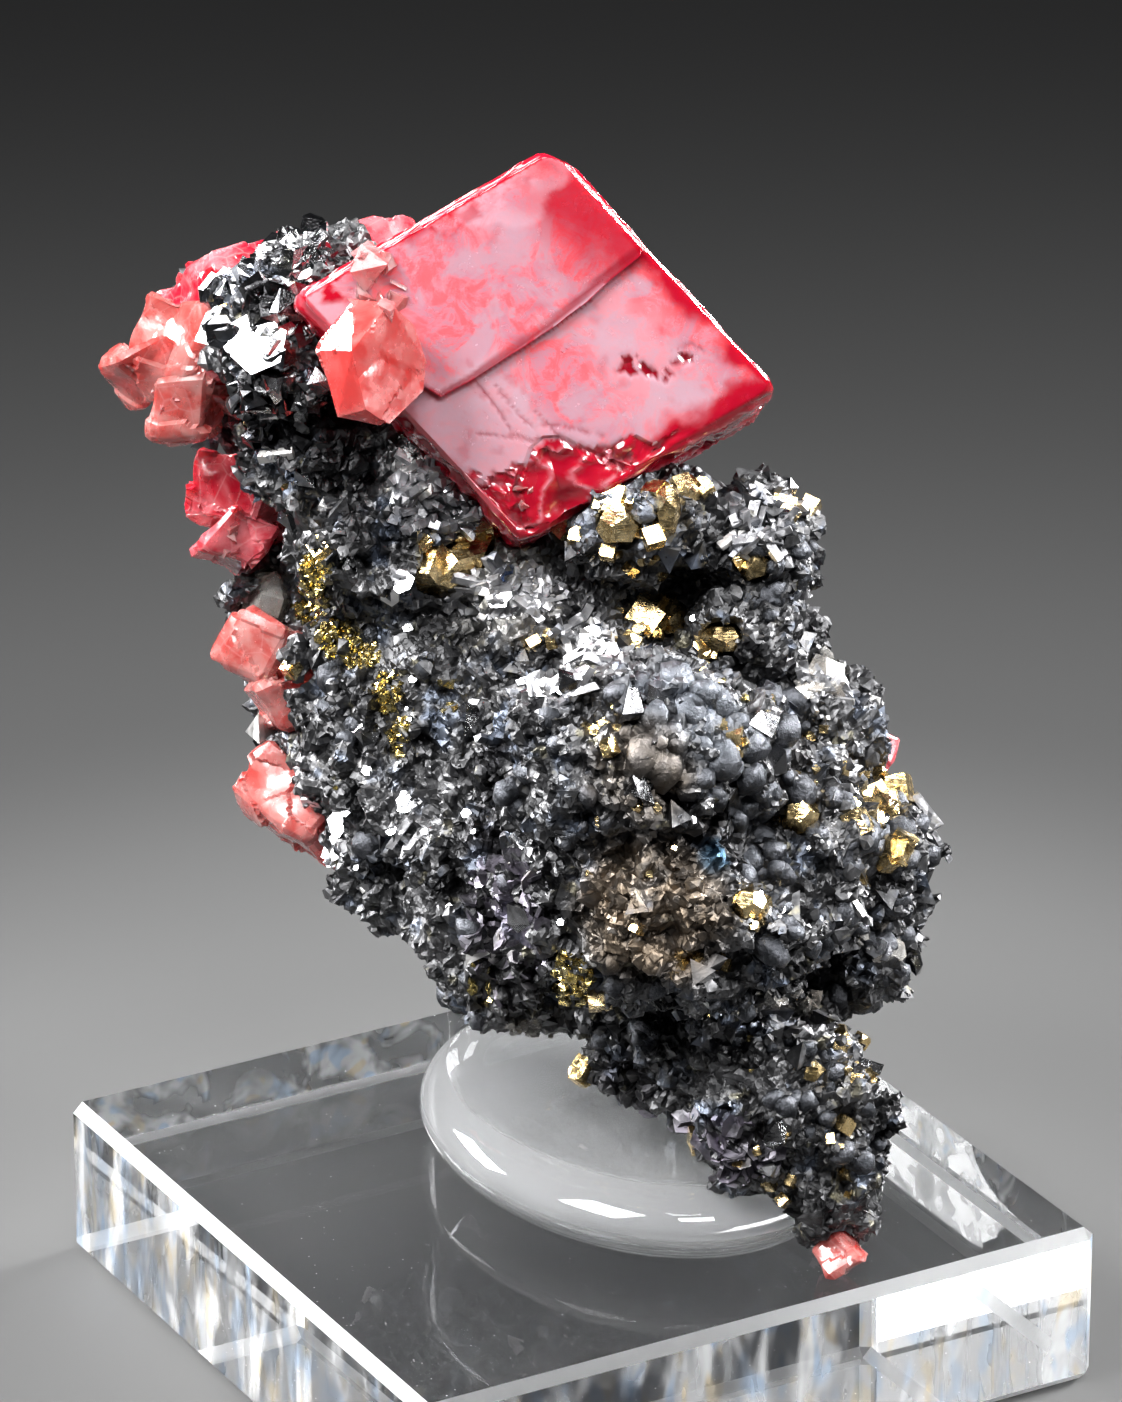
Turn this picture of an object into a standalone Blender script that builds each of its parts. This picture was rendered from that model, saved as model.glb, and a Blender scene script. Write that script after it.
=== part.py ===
"""A rhodochrosite specimen with tetrahedrite on its clear acrylic stand.

A dark tetrahedrite matrix, set with brassy pyrite and a little quartz, carries red rhombohedra of
rhodochrosite. It rests on an oval acrylic cushion, which lies on a square acrylic slab.
The origin is the centre of the slab's underside, +Z is up, and the slab's sides run along X and Y.
The lengths below are millimetres.
"""

import math
import random
from typing import NamedTuple

import bmesh
import bpy
from mathutils import Matrix, Vector, noise

MM = 0.001
GAP = 0.3
SOCKET_MITRE = 1.5

# Clear acrylic stand
SLAB_SIDE = 57.0
SLAB_THICKNESS = 12.7
SLAB_CHAMFER = 0.8
CUSHION_HALF_WIDTH = 14.6
CUSHION_HALF_LENGTH = 20.0
CUSHION_THICKNESS = 5.8
CUSHION_EDGE = 4.6
CUSHION_CENTRE = (3.6, -2.4)
CUSHION_SIDES = 40
CUSHION_STEPS = 6

# The display side. The specimen is laid out across, up and toward a viewer who stands to the front left
# and looks down on it. Zero is the centre of the slab's top.
DISPLAY_TURN = math.radians(-29.6)
DISPLAY_TILT = math.radians(23.6)
ACROSS = Vector((math.cos(DISPLAY_TURN), math.sin(DISPLAY_TURN), 0))
TOWARD = Vector(
    (
        math.sin(DISPLAY_TURN) * math.cos(DISPLAY_TILT),
        -math.cos(DISPLAY_TURN) * math.cos(DISPLAY_TILT),
        math.sin(DISPLAY_TILT),
    )
)
UP = TOWARD.cross(ACROSS)
DISPLAY = Matrix((ACROSS, UP, TOWARD)).transposed()


class Lump(NamedTuple):
    """A rounded mass of the matrix: its centre, half sizes and roll in the display frame."""

    centre: tuple
    half: tuple
    roll: float = 0


LUMPS = {
    "upper trunk": Lump((-3, 44, 3), (15.5, 8, 10)),
    "middle trunk": Lump((-3, 33, 4), (17.5, 11, 12)),
    "lower trunk": Lump((1, 21, 8), (18.5, 7.5, 12), -30),
    "lower left": Lump((-6, 17, 8), (8.5, 5, 9), -40),
    "left trunk": Lump((-14.5, 29.5, 2), (6.5, 13, 9), 16),
    "left column": Lump((-21, 40, -2), (4.4, 13, 6), 8),
    "upper left": Lump((-27, 62, 0.5), (5, 4.6, 5)),
    "left shoulder": Lump((-14, 47, 8), (7, 6, 8)),
    "left back": Lump((-18, 55, 1), (8, 8, 6)),
    "neck": Lump((-18.5, 54, 9), (6.5, 6, 7), 20),
    "black lump": Lump((-21.1, 61.6, 14), (5.2, 6.0, 6)),
    "black lump top": Lump((-18.4, 66.2, 13), (4.0, 3.0, 4.5)),
    "back": Lump((-3, 42, -6), (13, 12, 6)),
    "low back": Lump((4, 24, -2), (13, 9, 8), -25),
    "silver ledge": Lump((-9, 51, 9), (6, 5, 7)),
    "dome": Lump((4.7, 48.6, 13), (6.2, 4.8, 7)),
    "right dome": Lump((13.8, 46, 8), (4, 6, 8)),
    "right waist": Lump((12, 39.5, 8), (6, 5, 8)),
    "near upper": Lump((4.2, 30.5, 27), (11, 7.8, 10)),
    "near lower": Lump((6.5, 20.5, 24), (12, 8, 10), -12),
    "near right": Lump((16, 24, 20), (5.5, 8.5, 9)),
    "right": Lump((22.6, 23.2, 12), (4.2, 5, 7)),
    "right ledge": Lump((20.6, 16, 10), (4.5, 4, 6)),
    "right shoulder": Lump((18.5, 32.5, 8), (4.5, 6, 7)),
    "base": Lump((15, 5.5, 16), (8, 7, 8), -30),
    "foot": Lump((18.6, -0.5, 16), (4.6, 5, 4.5)),
    "under": Lump((8, 9, 12), (9, 5.5, 8), -35),
}
LUMP_VOXEL = 0.8
LUMP_SUBDIVISIONS = 3

# Rounded clots over the whole matrix, and a patchwork of tilted crystal faces over the clots
CLOT_SIZE = 7.0
CLOT_HEIGHT = 1.5
CLOT_LEVEL = 0.3
FACE_SIZE = 3.0
FACE_LEAN = 0.5
FACE_STEP = 0.7
LEAN_SPREAD = 47
LEVEL_SPREAD = 31
CORE_TRIANGLES = 3500

# Small tetrahedrite crystals fused to the matrix
SMALL_CRYSTALS = 36
SMALL_SIZE = (1.1, 2.0)
SMALL_CUT = (0.1, 0.3)
SEED = 41
TETRAHEDRON = ((1, 1, 1), (1, -1, -1), (-1, 1, -1), (-1, -1, 1))

# The matrix's faces cross in its deepest pits, which the exact solver can't cut
MATRIX_SOLVER = "MANIFOLD"

# Rhodochrosite's rhombohedron: three faces meet at its blunt corner, each with this angle there
FACE_ANGLE = math.radians(102.0)
CRYSTAL_BEVEL = 0.3


class Rhomb(NamedTuple):
    """A rhombohedron: its centre, its lengths up left, up right and back, and its roll, pitch and yaw."""

    centre: tuple
    lengths: tuple
    turn: tuple = (0, 0, 0)


MAIN = Rhomb((-3.4, 60.3, 14.1), (24.5, 21.9, 14.5), (-8.8, 13, 3.6))

# A growth step crosses the main crystal's front face. The part above it stands proud, and this is the part's
# outline along the face's left and right edges, as shares of their lengths from the blunt corner.
STEP_HEIGHT = 0.45
STEP_ROOT = 2.0
STEP_OUTLINE = (
    (0.556, 0.015),
    (0.556, 0.121),
    (0.505, 0.136),
    (0.503, 0.26),
    (0.516, 0.573),
    (0.533, 0.729),
    (0.552, 0.819),
    (0.575, 0.985),
    (0.985, 0.985),
    (0.985, 0.015),
)

# A round hollow of this radius has broken out of its blunt corner, and its top corner is worn
CHIP_CENTRE = (-0.3, 47.8, 28.2)
CHIP_RADIUS = 11.2
CHIP_SUBDIVISIONS = 2
TOP_WEAR = ((0.9, 77.6, 17), (6, 4, 16), -25)

CRYSTALS = {
    "rhodochrosite_rear": [Rhomb((-21.1, 64.0, 3.6), (9.4, 16.8, 11.0), (57.7, -114.6, 36.3))],
    "rhodochrosite_left_cluster": [
        Rhomb((-28.2, 60.6, 8), (6.6, 6.0, 7), (20, -18, -30)),
        Rhomb((-31.8, 59.4, 8.5), (4.6, 4.2, 5), (-14, 12, 22)),
        Rhomb((-28.8, 56.6, 9), (4.0, 4.4, 5), (46, 8, -10)),
    ],
    "rhodochrosite_left_upper": [
        Rhomb((-23.8, 50.0, 3), (6.4, 5.4, 8), (30, -12, -24)),
        Rhomb((-25.4, 46.9, 4), (4.2, 4.0, 6), (10, 16, 12)),
    ],
    "rhodochrosite_left_middle": [
        Rhomb((-22.6, 38.4, 2), (5.0, 4.6, 6), (16, -10, -30)),
        Rhomb((-21.4, 35.2, 2.5), (4.0, 4.6, 5), (-20, 14, 18)),
    ],
    "rhodochrosite_left_lower": [Rhomb((-20.2, 26.6, 0.5), (8, 5, 7), (4, -12, -24))],
    "rhodochrosite_back_right": [Rhomb((17.6, 29.0, -1.5), (9, 9, 8), (14, 10, 30))],
    "rhodochrosite_foot": [Rhomb((19.4, -5.6, 17.4), (2.8, 2.6, 3.6), (168, 16, 20))],
}

# The small gem's corners. It leans on the main crystal's front face, and its right side is one large facet.
GEM_CORNERS = (
    (-13.4, 63.6, 27.4),
    (-16.1, 60.0, 29.6),
    (-15.1, 55.9, 28.6),
    (-18.6, 60.2, 26.4),
    (-17.1, 55.4, 27.0),
    (-16.1, 63.9, 26.0),
    (-11.6, 62.1, 25.2),
    (-10.7, 59.4, 24.6),
    (-11.0, 57.3, 25.0),
    (-13.4, 54.8, 27.0),
    (-12.4, 62.0, 20.0),
    (-11.6, 57.0, 19.6),
    (-16.4, 56.0, 19.4),
    (-18.4, 60.6, 19.4),
    (-16.0, 63.4, 19.8),
)


class Block(NamedTuple):
    """A crystal set into the matrix where the display side shows it: its place, sizes and turn."""

    spot: tuple
    size: tuple
    turn: tuple = (0, 0, 0)


PYRITES = {
    "pyrite_striated": Block((-8.9, 45.0), (7.0, 2.9, 3.4), (37, -20, 10)),
    "pyrite_dome_left": Block((3.2, 47.8), (3.3, 3.3, 3.2), (12, 25, -20)),
    "pyrite_dome_right": Block((6.6, 48.7), (1.8, 4.2, 3.0), (-8, 20, 25)),
    "pyrite_centre": Block((7.2, 41.2), (3.2, 3.0, 3.2), (24, -30, 30)),
    "pyrite_right": Block((13.2, 44.9), (2.3, 2.2, 2.6), (30, 20, -30)),
    "pyrite_ledge": Block((10.9, 39.5), (3.2, 1.9, 2.6), (-6, 30, 10)),
    "pyrite_near_right": Block((16.2, 26.6), (2.8, 2.6, 3.0), (35, -20, 30)),
    "pyrite_near_low": Block((12.4, 20.4), (2.3, 2.0, 2.6), (10, 30, -25)),
    "pyrite_right_lump": Block((22.6, 27.0), (2.2, 2.4, 2.6), (28, 15, 20)),
}
QUARTZES = {
    "quartz_upper_left": Block((-30.2, 64.0), (3.2, 3.4, 4.2), (20, -10, 15)),
    "quartz_left": Block((-23.2, 42.4), (5.0, 3.4, 5.2), (75, 10, -20)),
    "quartz_right": Block((18.6, 36.8), (3.2, 2.6, 4.0), (-30, 20, 25)),
}
BLOCK_SINK = 0.25
VIEWER_REACH = 100.0


def place(across, up, toward):
    """A point of the display frame, as a vector in metres."""
    from_slab_top = ACROSS * across + UP * up + TOWARD * toward
    return (from_slab_top + Vector((0, 0, SLAB_THICKNESS))) * MM


def turned(roll, pitch=0, yaw=0):
    """A rotation out of the display frame, in degrees: yaw about up, then pitch about across, then roll."""
    turn = (
        Matrix.Rotation(math.radians(roll), 3, "Z")
        @ Matrix.Rotation(math.radians(pitch), 3, "X")
        @ Matrix.Rotation(math.radians(yaw), 3, "Y")
    )
    return DISPLAY @ turn


def pose(centre, rotation, scale=(1, 1, 1)):
    """The matrix that puts a shape made in millimetres about zero at a place of the display frame."""
    sizes = Matrix.Diagonal([size * MM for size in scale]).to_4x4()
    return Matrix.Translation(place(*centre)) @ rotation.to_4x4() @ sizes


def material(name, colour, roughness, metallic=0.0, transmission=0.0):
    made = bpy.data.materials.new(name)
    made.use_nodes = True
    shader = made.node_tree.nodes["Principled BSDF"]
    shader.inputs["Base Color"].default_value = (*colour, 1)
    shader.inputs["Roughness"].default_value = roughness
    shader.inputs["Metallic"].default_value = metallic
    shader.inputs["Transmission Weight"].default_value = transmission
    made.diffuse_color = (*colour, 1)
    return made


def object_from(name, shape, finish=None):
    """An object in the scene made from a bmesh, which is freed."""
    bmesh.ops.recalc_face_normals(shape, faces=shape.faces)
    mesh = bpy.data.meshes.new(name)
    shape.to_mesh(mesh)
    shape.free()
    obj = bpy.data.objects.new(name, mesh)
    bpy.context.scene.collection.objects.link(obj)
    if finish:
        mesh.materials.append(finish)
    return obj


def apply_modifiers(obj):
    """Gives the object the mesh that its modifiers make, and drops the modifiers."""
    bpy.context.view_layer.update()
    graph = bpy.context.evaluated_depsgraph_get()
    mesh = bpy.data.meshes.new_from_object(obj.evaluated_get(graph))
    obj.modifiers.clear()
    obj.data = mesh


def combine(obj, other, operation, solver="EXACT"):
    """Applies a Boolean with another object, which is then removed."""
    step = obj.modifiers.new("boolean", "BOOLEAN")
    step.operation = operation
    step.solver = solver
    step.object = other
    apply_modifiers(obj)
    bpy.data.objects.remove(other)


def keep_largest_body(obj):
    """Drops the chips that a cut has left loose."""
    shape = bmesh.new()
    shape.from_mesh(obj.data)
    unseen = set(shape.verts)
    bodies = []
    while unseen:
        body = {unseen.pop()}
        front = set(body)
        while front:
            front = {edge.other_vert(v) for v in front for edge in v.link_edges} - body
            body |= front
        unseen -= body
        bodies.append(body)
    bodies.sort(key=len)
    loose = [v for body in bodies[:-1] for v in body]
    bmesh.ops.delete(shape, geom=loose, context="VERTS")
    shape.to_mesh(obj.data)
    shape.free()


def add_hull(shape, points, matrix):
    """Adds the convex solid around some points to a bmesh."""
    verts = [shape.verts.new(matrix @ Vector(point)) for point in points]
    found = bmesh.ops.convex_hull(shape, input=verts)
    inside = [v for v in found["geom_interior"] if isinstance(v, bmesh.types.BMVert)]
    bmesh.ops.delete(shape, geom=inside, context="VERTS")


def rhomb_edges():
    """Unit vectors along the edges at the blunt corner: up left, up right and back."""
    half = FACE_ANGLE / 2
    left = Vector((-math.sin(half), math.cos(half), 0))
    right = Vector((math.sin(half), math.cos(half), 0))
    drop = math.cos(FACE_ANGLE) / math.cos(half)
    back = Vector((0, drop, -math.sqrt(1 - drop * drop)))
    return left, right, back


def add_rhomb(shape, rhomb, bevel=CRYSTAL_BEVEL):
    """Adds a rhombohedron with narrow bevels on its edges to a bmesh."""
    steps = [edge * length for edge, length in zip(rhomb_edges(), rhomb.lengths)]
    matrix = pose(rhomb.centre, turned(*rhomb.turn))
    single = bmesh.new()
    corners = [
        sum((step * side for step, side in zip(steps, sides)), Vector()) / 2
        for sides in ((i, j, k) for i in (-1, 1) for j in (-1, 1) for k in (-1, 1))
    ]
    add_hull(single, corners, Matrix())
    bmesh.ops.dissolve_limit(
        single, angle_limit=math.radians(1), verts=single.verts, edges=single.edges
    )
    bmesh.ops.bevel(single, geom=single.edges[:], offset=bevel, segments=1, affect="EDGES")
    bmesh.ops.transform(single, matrix=matrix, verts=single.verts)
    mesh = bpy.data.meshes.new("rhomb")
    single.to_mesh(mesh)
    single.free()
    shape.from_mesh(mesh)
    bpy.data.meshes.remove(mesh)


def crystal_group(name, rhombs, finish):
    """One object made of rhombohedra that have grown together."""
    for number, rhomb in enumerate(rhombs):
        shape = bmesh.new()
        add_rhomb(shape, rhomb)
        if number == 0:
            obj = object_from(name, shape, finish)
        else:
            combine(obj, object_from("grown on", shape), "UNION")
    return obj


def socket_of(obj, gap=GAP):
    """A solid larger than the object by the gap on every side."""
    shape = bmesh.new()
    shape.from_mesh(obj.data)
    bmesh.ops.triangulate(shape, faces=shape.faces)
    shape.normal_update()
    reach = [min(v.calc_shell_factor(), SOCKET_MITRE) * gap * MM for v in shape.verts]
    moves = [v.normal * length for v, length in zip(shape.verts, reach)]
    for vert, move in zip(shape.verts, moves):
        vert.co += move
    return object_from("socket", shape)


def clot_height(point):
    """How far a rounded clot bulges here."""
    near, next_near = noise.voronoi(point / (CLOT_SIZE * MM))[0][:2]
    return (next_near - near - CLOT_LEVEL) * CLOT_HEIGHT * MM


def face_height(point):
    """The height here of a patchwork of flat crystal faces, each with its own lean and level."""
    spot = point / (FACE_SIZE * MM)
    centre = noise.voronoi(spot)[1][0]
    lean = noise.cell_vector(centre * LEAN_SPREAD) * 2 - Vector((1, 1, 1))
    level = noise.cell(centre * LEVEL_SPREAD)
    return ((spot - centre).dot(lean) * FACE_LEAN * FACE_SIZE + level * FACE_STEP) * MM


def boxes_meet(first, second):
    """Whether two objects' boxes come within the gap of each other."""
    low, high = ([Vector(box.bound_box[corner]) for box in (first, second)] for corner in (0, 6))
    room = GAP * MM
    return all(
        low[0][axis] < high[1][axis] + room and low[1][axis] < high[0][axis] + room
        for axis in range(3)
    )


def give_way(obj, others):
    """Cuts a crystal back from those that stood before it."""
    for other in others:
        if boxes_meet(obj, other):
            combine(obj, socket_of(other), "DIFFERENCE")
            keep_largest_body(obj)


def matrix_core():
    """The lumps as one body with clots and crystal faces all over it."""
    shape = bmesh.new()
    for lump in LUMPS.values():
        bmesh.ops.create_icosphere(
            shape,
            subdivisions=LUMP_SUBDIVISIONS,
            radius=1,
            matrix=pose(lump.centre, turned(lump.roll), lump.half),
        )
    core = object_from("tetrahedrite_matrix", shape)
    remesh = core.modifiers.new("one body", "REMESH")
    remesh.mode = "VOXEL"
    remesh.voxel_size = LUMP_VOXEL * MM
    apply_modifiers(core)
    verts = core.data.vertices
    moves = [v.normal * (clot_height(v.co) + face_height(v.co)) for v in verts]
    for vert, move in zip(verts, moves):
        vert.co += move
    decimate = core.modifiers.new("facets", "DECIMATE")
    decimate.ratio = CORE_TRIANGLES / (2 * len(core.data.polygons))
    apply_modifiers(core)
    return core


def tetrahedral_points(cut):
    """The corners of a tetrahedron whose tips are cut off by this share of its edges."""
    return [
        Vector(tip).lerp(Vector(other), cut)
        for tip in TETRAHEDRON
        for other in TETRAHEDRON
        if other != tip
    ]


def random_turn(rng):
    axis = Vector([rng.gauss(0, 1) for _ in range(3)]).normalized()
    return Matrix.Rotation(rng.uniform(0, math.tau), 3, axis)


def small_crystals(core):
    """Tetrahedra spread over the core by area, half sunk into it."""
    rng = random.Random(SEED)
    core.data.calc_loop_triangles()
    triangles = core.data.loop_triangles
    areas = [triangle.area for triangle in triangles]
    crystals = []
    for triangle in rng.choices(triangles, areas, k=SMALL_CRYSTALS):
        size = rng.uniform(*SMALL_SIZE) * MM
        spot = Matrix.Translation(triangle.center)
        matrix = spot @ random_turn(rng).to_4x4() @ Matrix.Scale(size, 4)
        shape = bmesh.new()
        add_hull(shape, tetrahedral_points(rng.uniform(*SMALL_CUT)), matrix)
        crystals.append(object_from("small crystal", shape))
    return crystals


def main_crystal(finish):
    """The large rhombohedron with its growth step, the broken hollow and the worn top."""
    shape = bmesh.new()
    add_rhomb(shape, MAIN)
    obj = object_from("rhodochrosite_main", shape, finish)

    left, right, back = [edge * length for edge, length in zip(rhomb_edges(), MAIN.lengths)]
    corner = -(left + right + back) / 2
    outward = Vector((0, 0, 1))
    step = bmesh.new()
    rim = [corner + left * along_left + right * along_right for along_left, along_right in STEP_OUTLINE]
    low = [step.verts.new(point - outward * STEP_ROOT) for point in rim]
    high = [step.verts.new(point + outward * STEP_HEIGHT) for point in rim]
    step.faces.new(high)
    step.faces.new(low)
    for first, second in zip(range(len(rim)), [*range(1, len(rim)), 0]):
        step.faces.new((low[first], low[second], high[second], high[first]))
    bmesh.ops.transform(step, matrix=pose(MAIN.centre, turned(*MAIN.turn)), verts=step.verts)
    combine(obj, object_from("growth step", step), "UNION")

    chip = bmesh.new()
    bmesh.ops.create_icosphere(
        chip, subdivisions=CHIP_SUBDIVISIONS, radius=CHIP_RADIUS, matrix=pose(CHIP_CENTRE, turned(0))
    )
    combine(obj, object_from("chip", chip), "DIFFERENCE")
    centre, size, roll = TOP_WEAR
    wear = bmesh.new()
    bmesh.ops.create_cube(wear, size=2, matrix=pose(centre, turned(roll), size))
    combine(obj, object_from("wear", wear), "DIFFERENCE")
    return obj


def small_gem(finish):
    shape = bmesh.new()
    points = [place(*corner) for corner in GEM_CORNERS]
    add_hull(shape, points, Matrix())
    return object_from("rhodochrosite_small_gem", shape, finish)


def surface_toward(core, across, up):
    """How far toward the viewer the matrix reaches at a place of the display side."""
    start = place(across, up, VIEWER_REACH)
    hit, point, _, _ = core.ray_cast(start, -TOWARD)
    if not hit:
        raise ValueError(f"the matrix doesn't reach {across}, {up}")
    return VIEWER_REACH - (point - start).length / MM


def pyrite(name, block, core, finish):
    """A pyritohedron stretched to the block's size."""
    across, up = block.spot
    toward = surface_toward(core, across, up) - block.size[2] * BLOCK_SINK
    golden = (1 + math.sqrt(5)) / 2
    corners = [(x, y, z) for x in (-1, 1) for y in (-1, 1) for z in (-1, 1)]
    for first in (-1, 1):
        for second in (-1, 1):
            flat = (0, first / golden, second * golden)
            corners += [flat[turn:] + flat[:turn] for turn in range(3)]
    half = [size / 2 / golden for size in block.size]
    shape = bmesh.new()
    add_hull(shape, corners, pose((across, up, toward), turned(*block.turn), half))
    return object_from(name, shape, finish)


def quartz(name, block, core, finish):
    """A six-sided prism with a point at each end, along the block's first size."""
    across, up = block.spot
    toward = surface_toward(core, across, up) - block.size[2] * BLOCK_SINK
    corners = [(-1, 0, 0), (1, 0, 0)]
    for side in range(6):
        angle = math.tau * side / 6
        for end in (-0.5, 0.5):
            corners.append((end, math.cos(angle), math.sin(angle)))
    half = [size / 2 for size in block.size]
    shape = bmesh.new()
    add_hull(shape, corners, pose((across, up, toward), turned(*block.turn), half))
    return object_from(name, shape, finish)


def acrylic_slab(finish):
    shape = bmesh.new()
    bmesh.ops.create_cube(shape, size=1)
    size = Vector((SLAB_SIDE, SLAB_SIDE, SLAB_THICKNESS)) * MM
    bmesh.ops.scale(shape, vec=size, verts=shape.verts)
    bmesh.ops.translate(shape, vec=(0, 0, size.z / 2), verts=shape.verts)
    bmesh.ops.bevel(
        shape, geom=shape.edges[:], offset=SLAB_CHAMFER * MM, segments=1, affect="EDGES"
    )
    return object_from("acrylic_slab", shape, finish)


def cushion_section():
    """The cushion's section as (share of the way in from the rim, height), from the bottom up."""
    half = CUSHION_THICKNESS / 2
    section = []
    for step in range(CUSHION_STEPS + 1):
        angle = math.pi * (step / CUSHION_STEPS - 0.5)
        section.append((CUSHION_EDGE * (1 - math.cos(angle)), half * (1 + math.sin(angle))))
    return section


def acrylic_cushion(finish):
    """An oval pebble with a nearly flat top and bottom and a round edge."""
    shape = bmesh.new()
    floor = SLAB_THICKNESS + GAP
    rings = []
    for inset, height in cushion_section():
        ring = []
        for side in range(CUSHION_SIDES):
            angle = math.tau * side / CUSHION_SIDES
            x = CUSHION_CENTRE[0] + (CUSHION_HALF_WIDTH - inset) * math.cos(angle)
            y = CUSHION_CENTRE[1] + (CUSHION_HALF_LENGTH - inset) * math.sin(angle)
            ring.append(shape.verts.new(Vector((x, y, floor + height)) * MM))
        rings.append(ring)
    for lower, upper in zip(rings, rings[1:]):
        for side in range(CUSHION_SIDES):
            after = (side + 1) % CUSHION_SIDES
            shape.faces.new((lower[side], lower[after], upper[after], upper[side]))
    shape.faces.new(rings[0])
    shape.faces.new(rings[-1])
    return object_from("acrylic_cushion", shape, finish)


def main():
    for obj in list(bpy.data.objects):
        bpy.data.objects.remove(obj)
    acrylic = material("clear acrylic", (0.95, 0.97, 0.98), 0.02, transmission=1.0)
    tetrahedrite = material("tetrahedrite", (0.09, 0.09, 0.1), 0.35, metallic=0.8)
    rhodochrosite = material("rhodochrosite", (0.85, 0.1, 0.14), 0.12)
    brass_yellow = material("pyrite", (0.75, 0.6, 0.32), 0.25, metallic=1.0)
    clear_grey = material("quartz", (0.75, 0.73, 0.7), 0.15, transmission=0.6)

    acrylic_slab(acrylic)
    cushion = acrylic_cushion(acrylic)
    matrix = matrix_core()
    matrix.data.materials.append(tetrahedrite)

    crystals = [main_crystal(rhodochrosite), small_gem(rhodochrosite)]
    for name, rhombs in CRYSTALS.items():
        crystals.append(crystal_group(name, rhombs, rhodochrosite))
    for name, block in PYRITES.items():
        crystals.append(pyrite(name, block, matrix, brass_yellow))
    for name, block in QUARTZES.items():
        crystals.append(quartz(name, block, matrix, clear_grey))
    for number, crystal in enumerate(crystals):
        give_way(crystal, crystals[:number])

    for small in small_crystals(matrix):
        combine(matrix, small, "UNION", MATRIX_SOLVER)
    for obj in [cushion, *crystals]:
        combine(matrix, socket_of(obj), "DIFFERENCE", MATRIX_SOLVER)
    keep_largest_body(matrix)


main()
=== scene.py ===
"""The looks of a rhodochrosite specimen with tetrahedrite on its clear acrylic stand.

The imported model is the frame. The matrix and the crystals get their fine relief and their finishes here.
The lengths below are millimetres. Places on the display side are pixels of the 1122 x 1402 frame.
"""

import math

import bmesh
import bpy
import numpy as np
from mathutils import Matrix, Vector, noise
from mathutils.bvhtree import BVHTree


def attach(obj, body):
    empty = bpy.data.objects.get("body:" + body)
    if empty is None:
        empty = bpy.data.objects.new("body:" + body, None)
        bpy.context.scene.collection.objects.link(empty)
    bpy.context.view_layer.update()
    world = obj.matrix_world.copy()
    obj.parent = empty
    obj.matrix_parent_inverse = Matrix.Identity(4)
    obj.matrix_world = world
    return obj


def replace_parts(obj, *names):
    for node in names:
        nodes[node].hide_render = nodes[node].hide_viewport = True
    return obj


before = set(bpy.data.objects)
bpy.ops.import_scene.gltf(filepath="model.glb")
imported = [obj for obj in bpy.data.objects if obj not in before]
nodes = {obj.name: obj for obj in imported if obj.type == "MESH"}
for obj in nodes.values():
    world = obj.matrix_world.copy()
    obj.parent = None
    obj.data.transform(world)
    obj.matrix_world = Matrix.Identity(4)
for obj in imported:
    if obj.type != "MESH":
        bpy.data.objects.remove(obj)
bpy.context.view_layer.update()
scene = bpy.context.scene

MM = 0.001
SEED = 17

# Camera
FRAME_SIZE = (1122, 1402)
FOCAL_PIXELS = 8000.0
SENSOR = 36.0
CLIP_END = 10
CAMERA_TURN = math.radians(-29.57)
CAMERA_TILT = math.radians(23.59)
CAMERA_PLACE = Vector((-267.1, -468.6, 286.3)) * MM

ACROSS = Vector((math.cos(CAMERA_TURN), math.sin(CAMERA_TURN), 0))
TOWARD = Vector(
    (
        math.sin(CAMERA_TURN) * math.cos(CAMERA_TILT),
        -math.cos(CAMERA_TURN) * math.cos(CAMERA_TILT),
        math.sin(CAMERA_TILT),
    )
)
UP = TOWARD.cross(ACROSS)
DISPLAY = Matrix((ACROSS, UP, TOWARD)).transposed()
SLAB_TOP = 12.7

# Main crystal, as the part's source sets it
MAIN_CENTRE = (-3.4, 60.3, 14.1)
MAIN_LENGTHS = (24.5, 21.9, 14.5)
MAIN_TURN = (-8.8, 13.0, 3.6)
FACE_ANGLE = math.radians(102.0)

# The key light's degrees right of the camera and up
KEY_PLACE = (-62, 48)

# Cushion
CUSHION_HALF_WIDTH = 14.6
CUSHION_HALF_LENGTH = 20.0
CUSHION_THICKNESS = 5.8
CUSHION_EDGE = 4.6
CUSHION_CENTRE = (3.6, -2.4)
CUSHION_FLOOR = 13.0
CUSHION_SIDES = 144
CUSHION_STEPS = 28

# Main crystal's details: how fine its mesh is, and what lies on its front face, by pixel
MAIN_GRID = 0.45
# The milky mask also holds painted light on the lower-left side face
MAIN_MASKS = ("crimson", "greyish", "milky_and_painted_light", "dark")
MAIN_CRACKS = (
    ((473, 378), (495, 405), (512, 432), (530, 441), (556, 436)),
    ((495, 384), (520, 416), (534, 427), (556, 425), (606, 436)),
    ((534, 411), (548, 424), (560, 438), (575, 444)),
    ((560, 446), (575, 462)),
    ((478, 434), (520, 438)),
    ((673, 350), (692, 344), (704, 350)),
)
MAIN_PITS = (
    ((632, 372), 0.75),
    ((646, 369), 0.55),
    ((655, 374), 0.55),
    ((666, 372), 0.6),
    ((678, 364), 0.7),
    ((684, 356), 0.5),
    ((628, 358), 0.35),
)
MAIN_VEILS = (((512, 200), 2.6), ((478, 205), 1.9), ((540, 168), 2.2), ((505, 172), 1.6))
MAIN_TIP = ((478, 476), (655, 436))
MAIN_STEP = (
    (649, 243),
    (602, 278),
    (583, 297),
    (547, 326),
    (470, 379),
    (438, 398),
    (423, 388),
)

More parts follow.
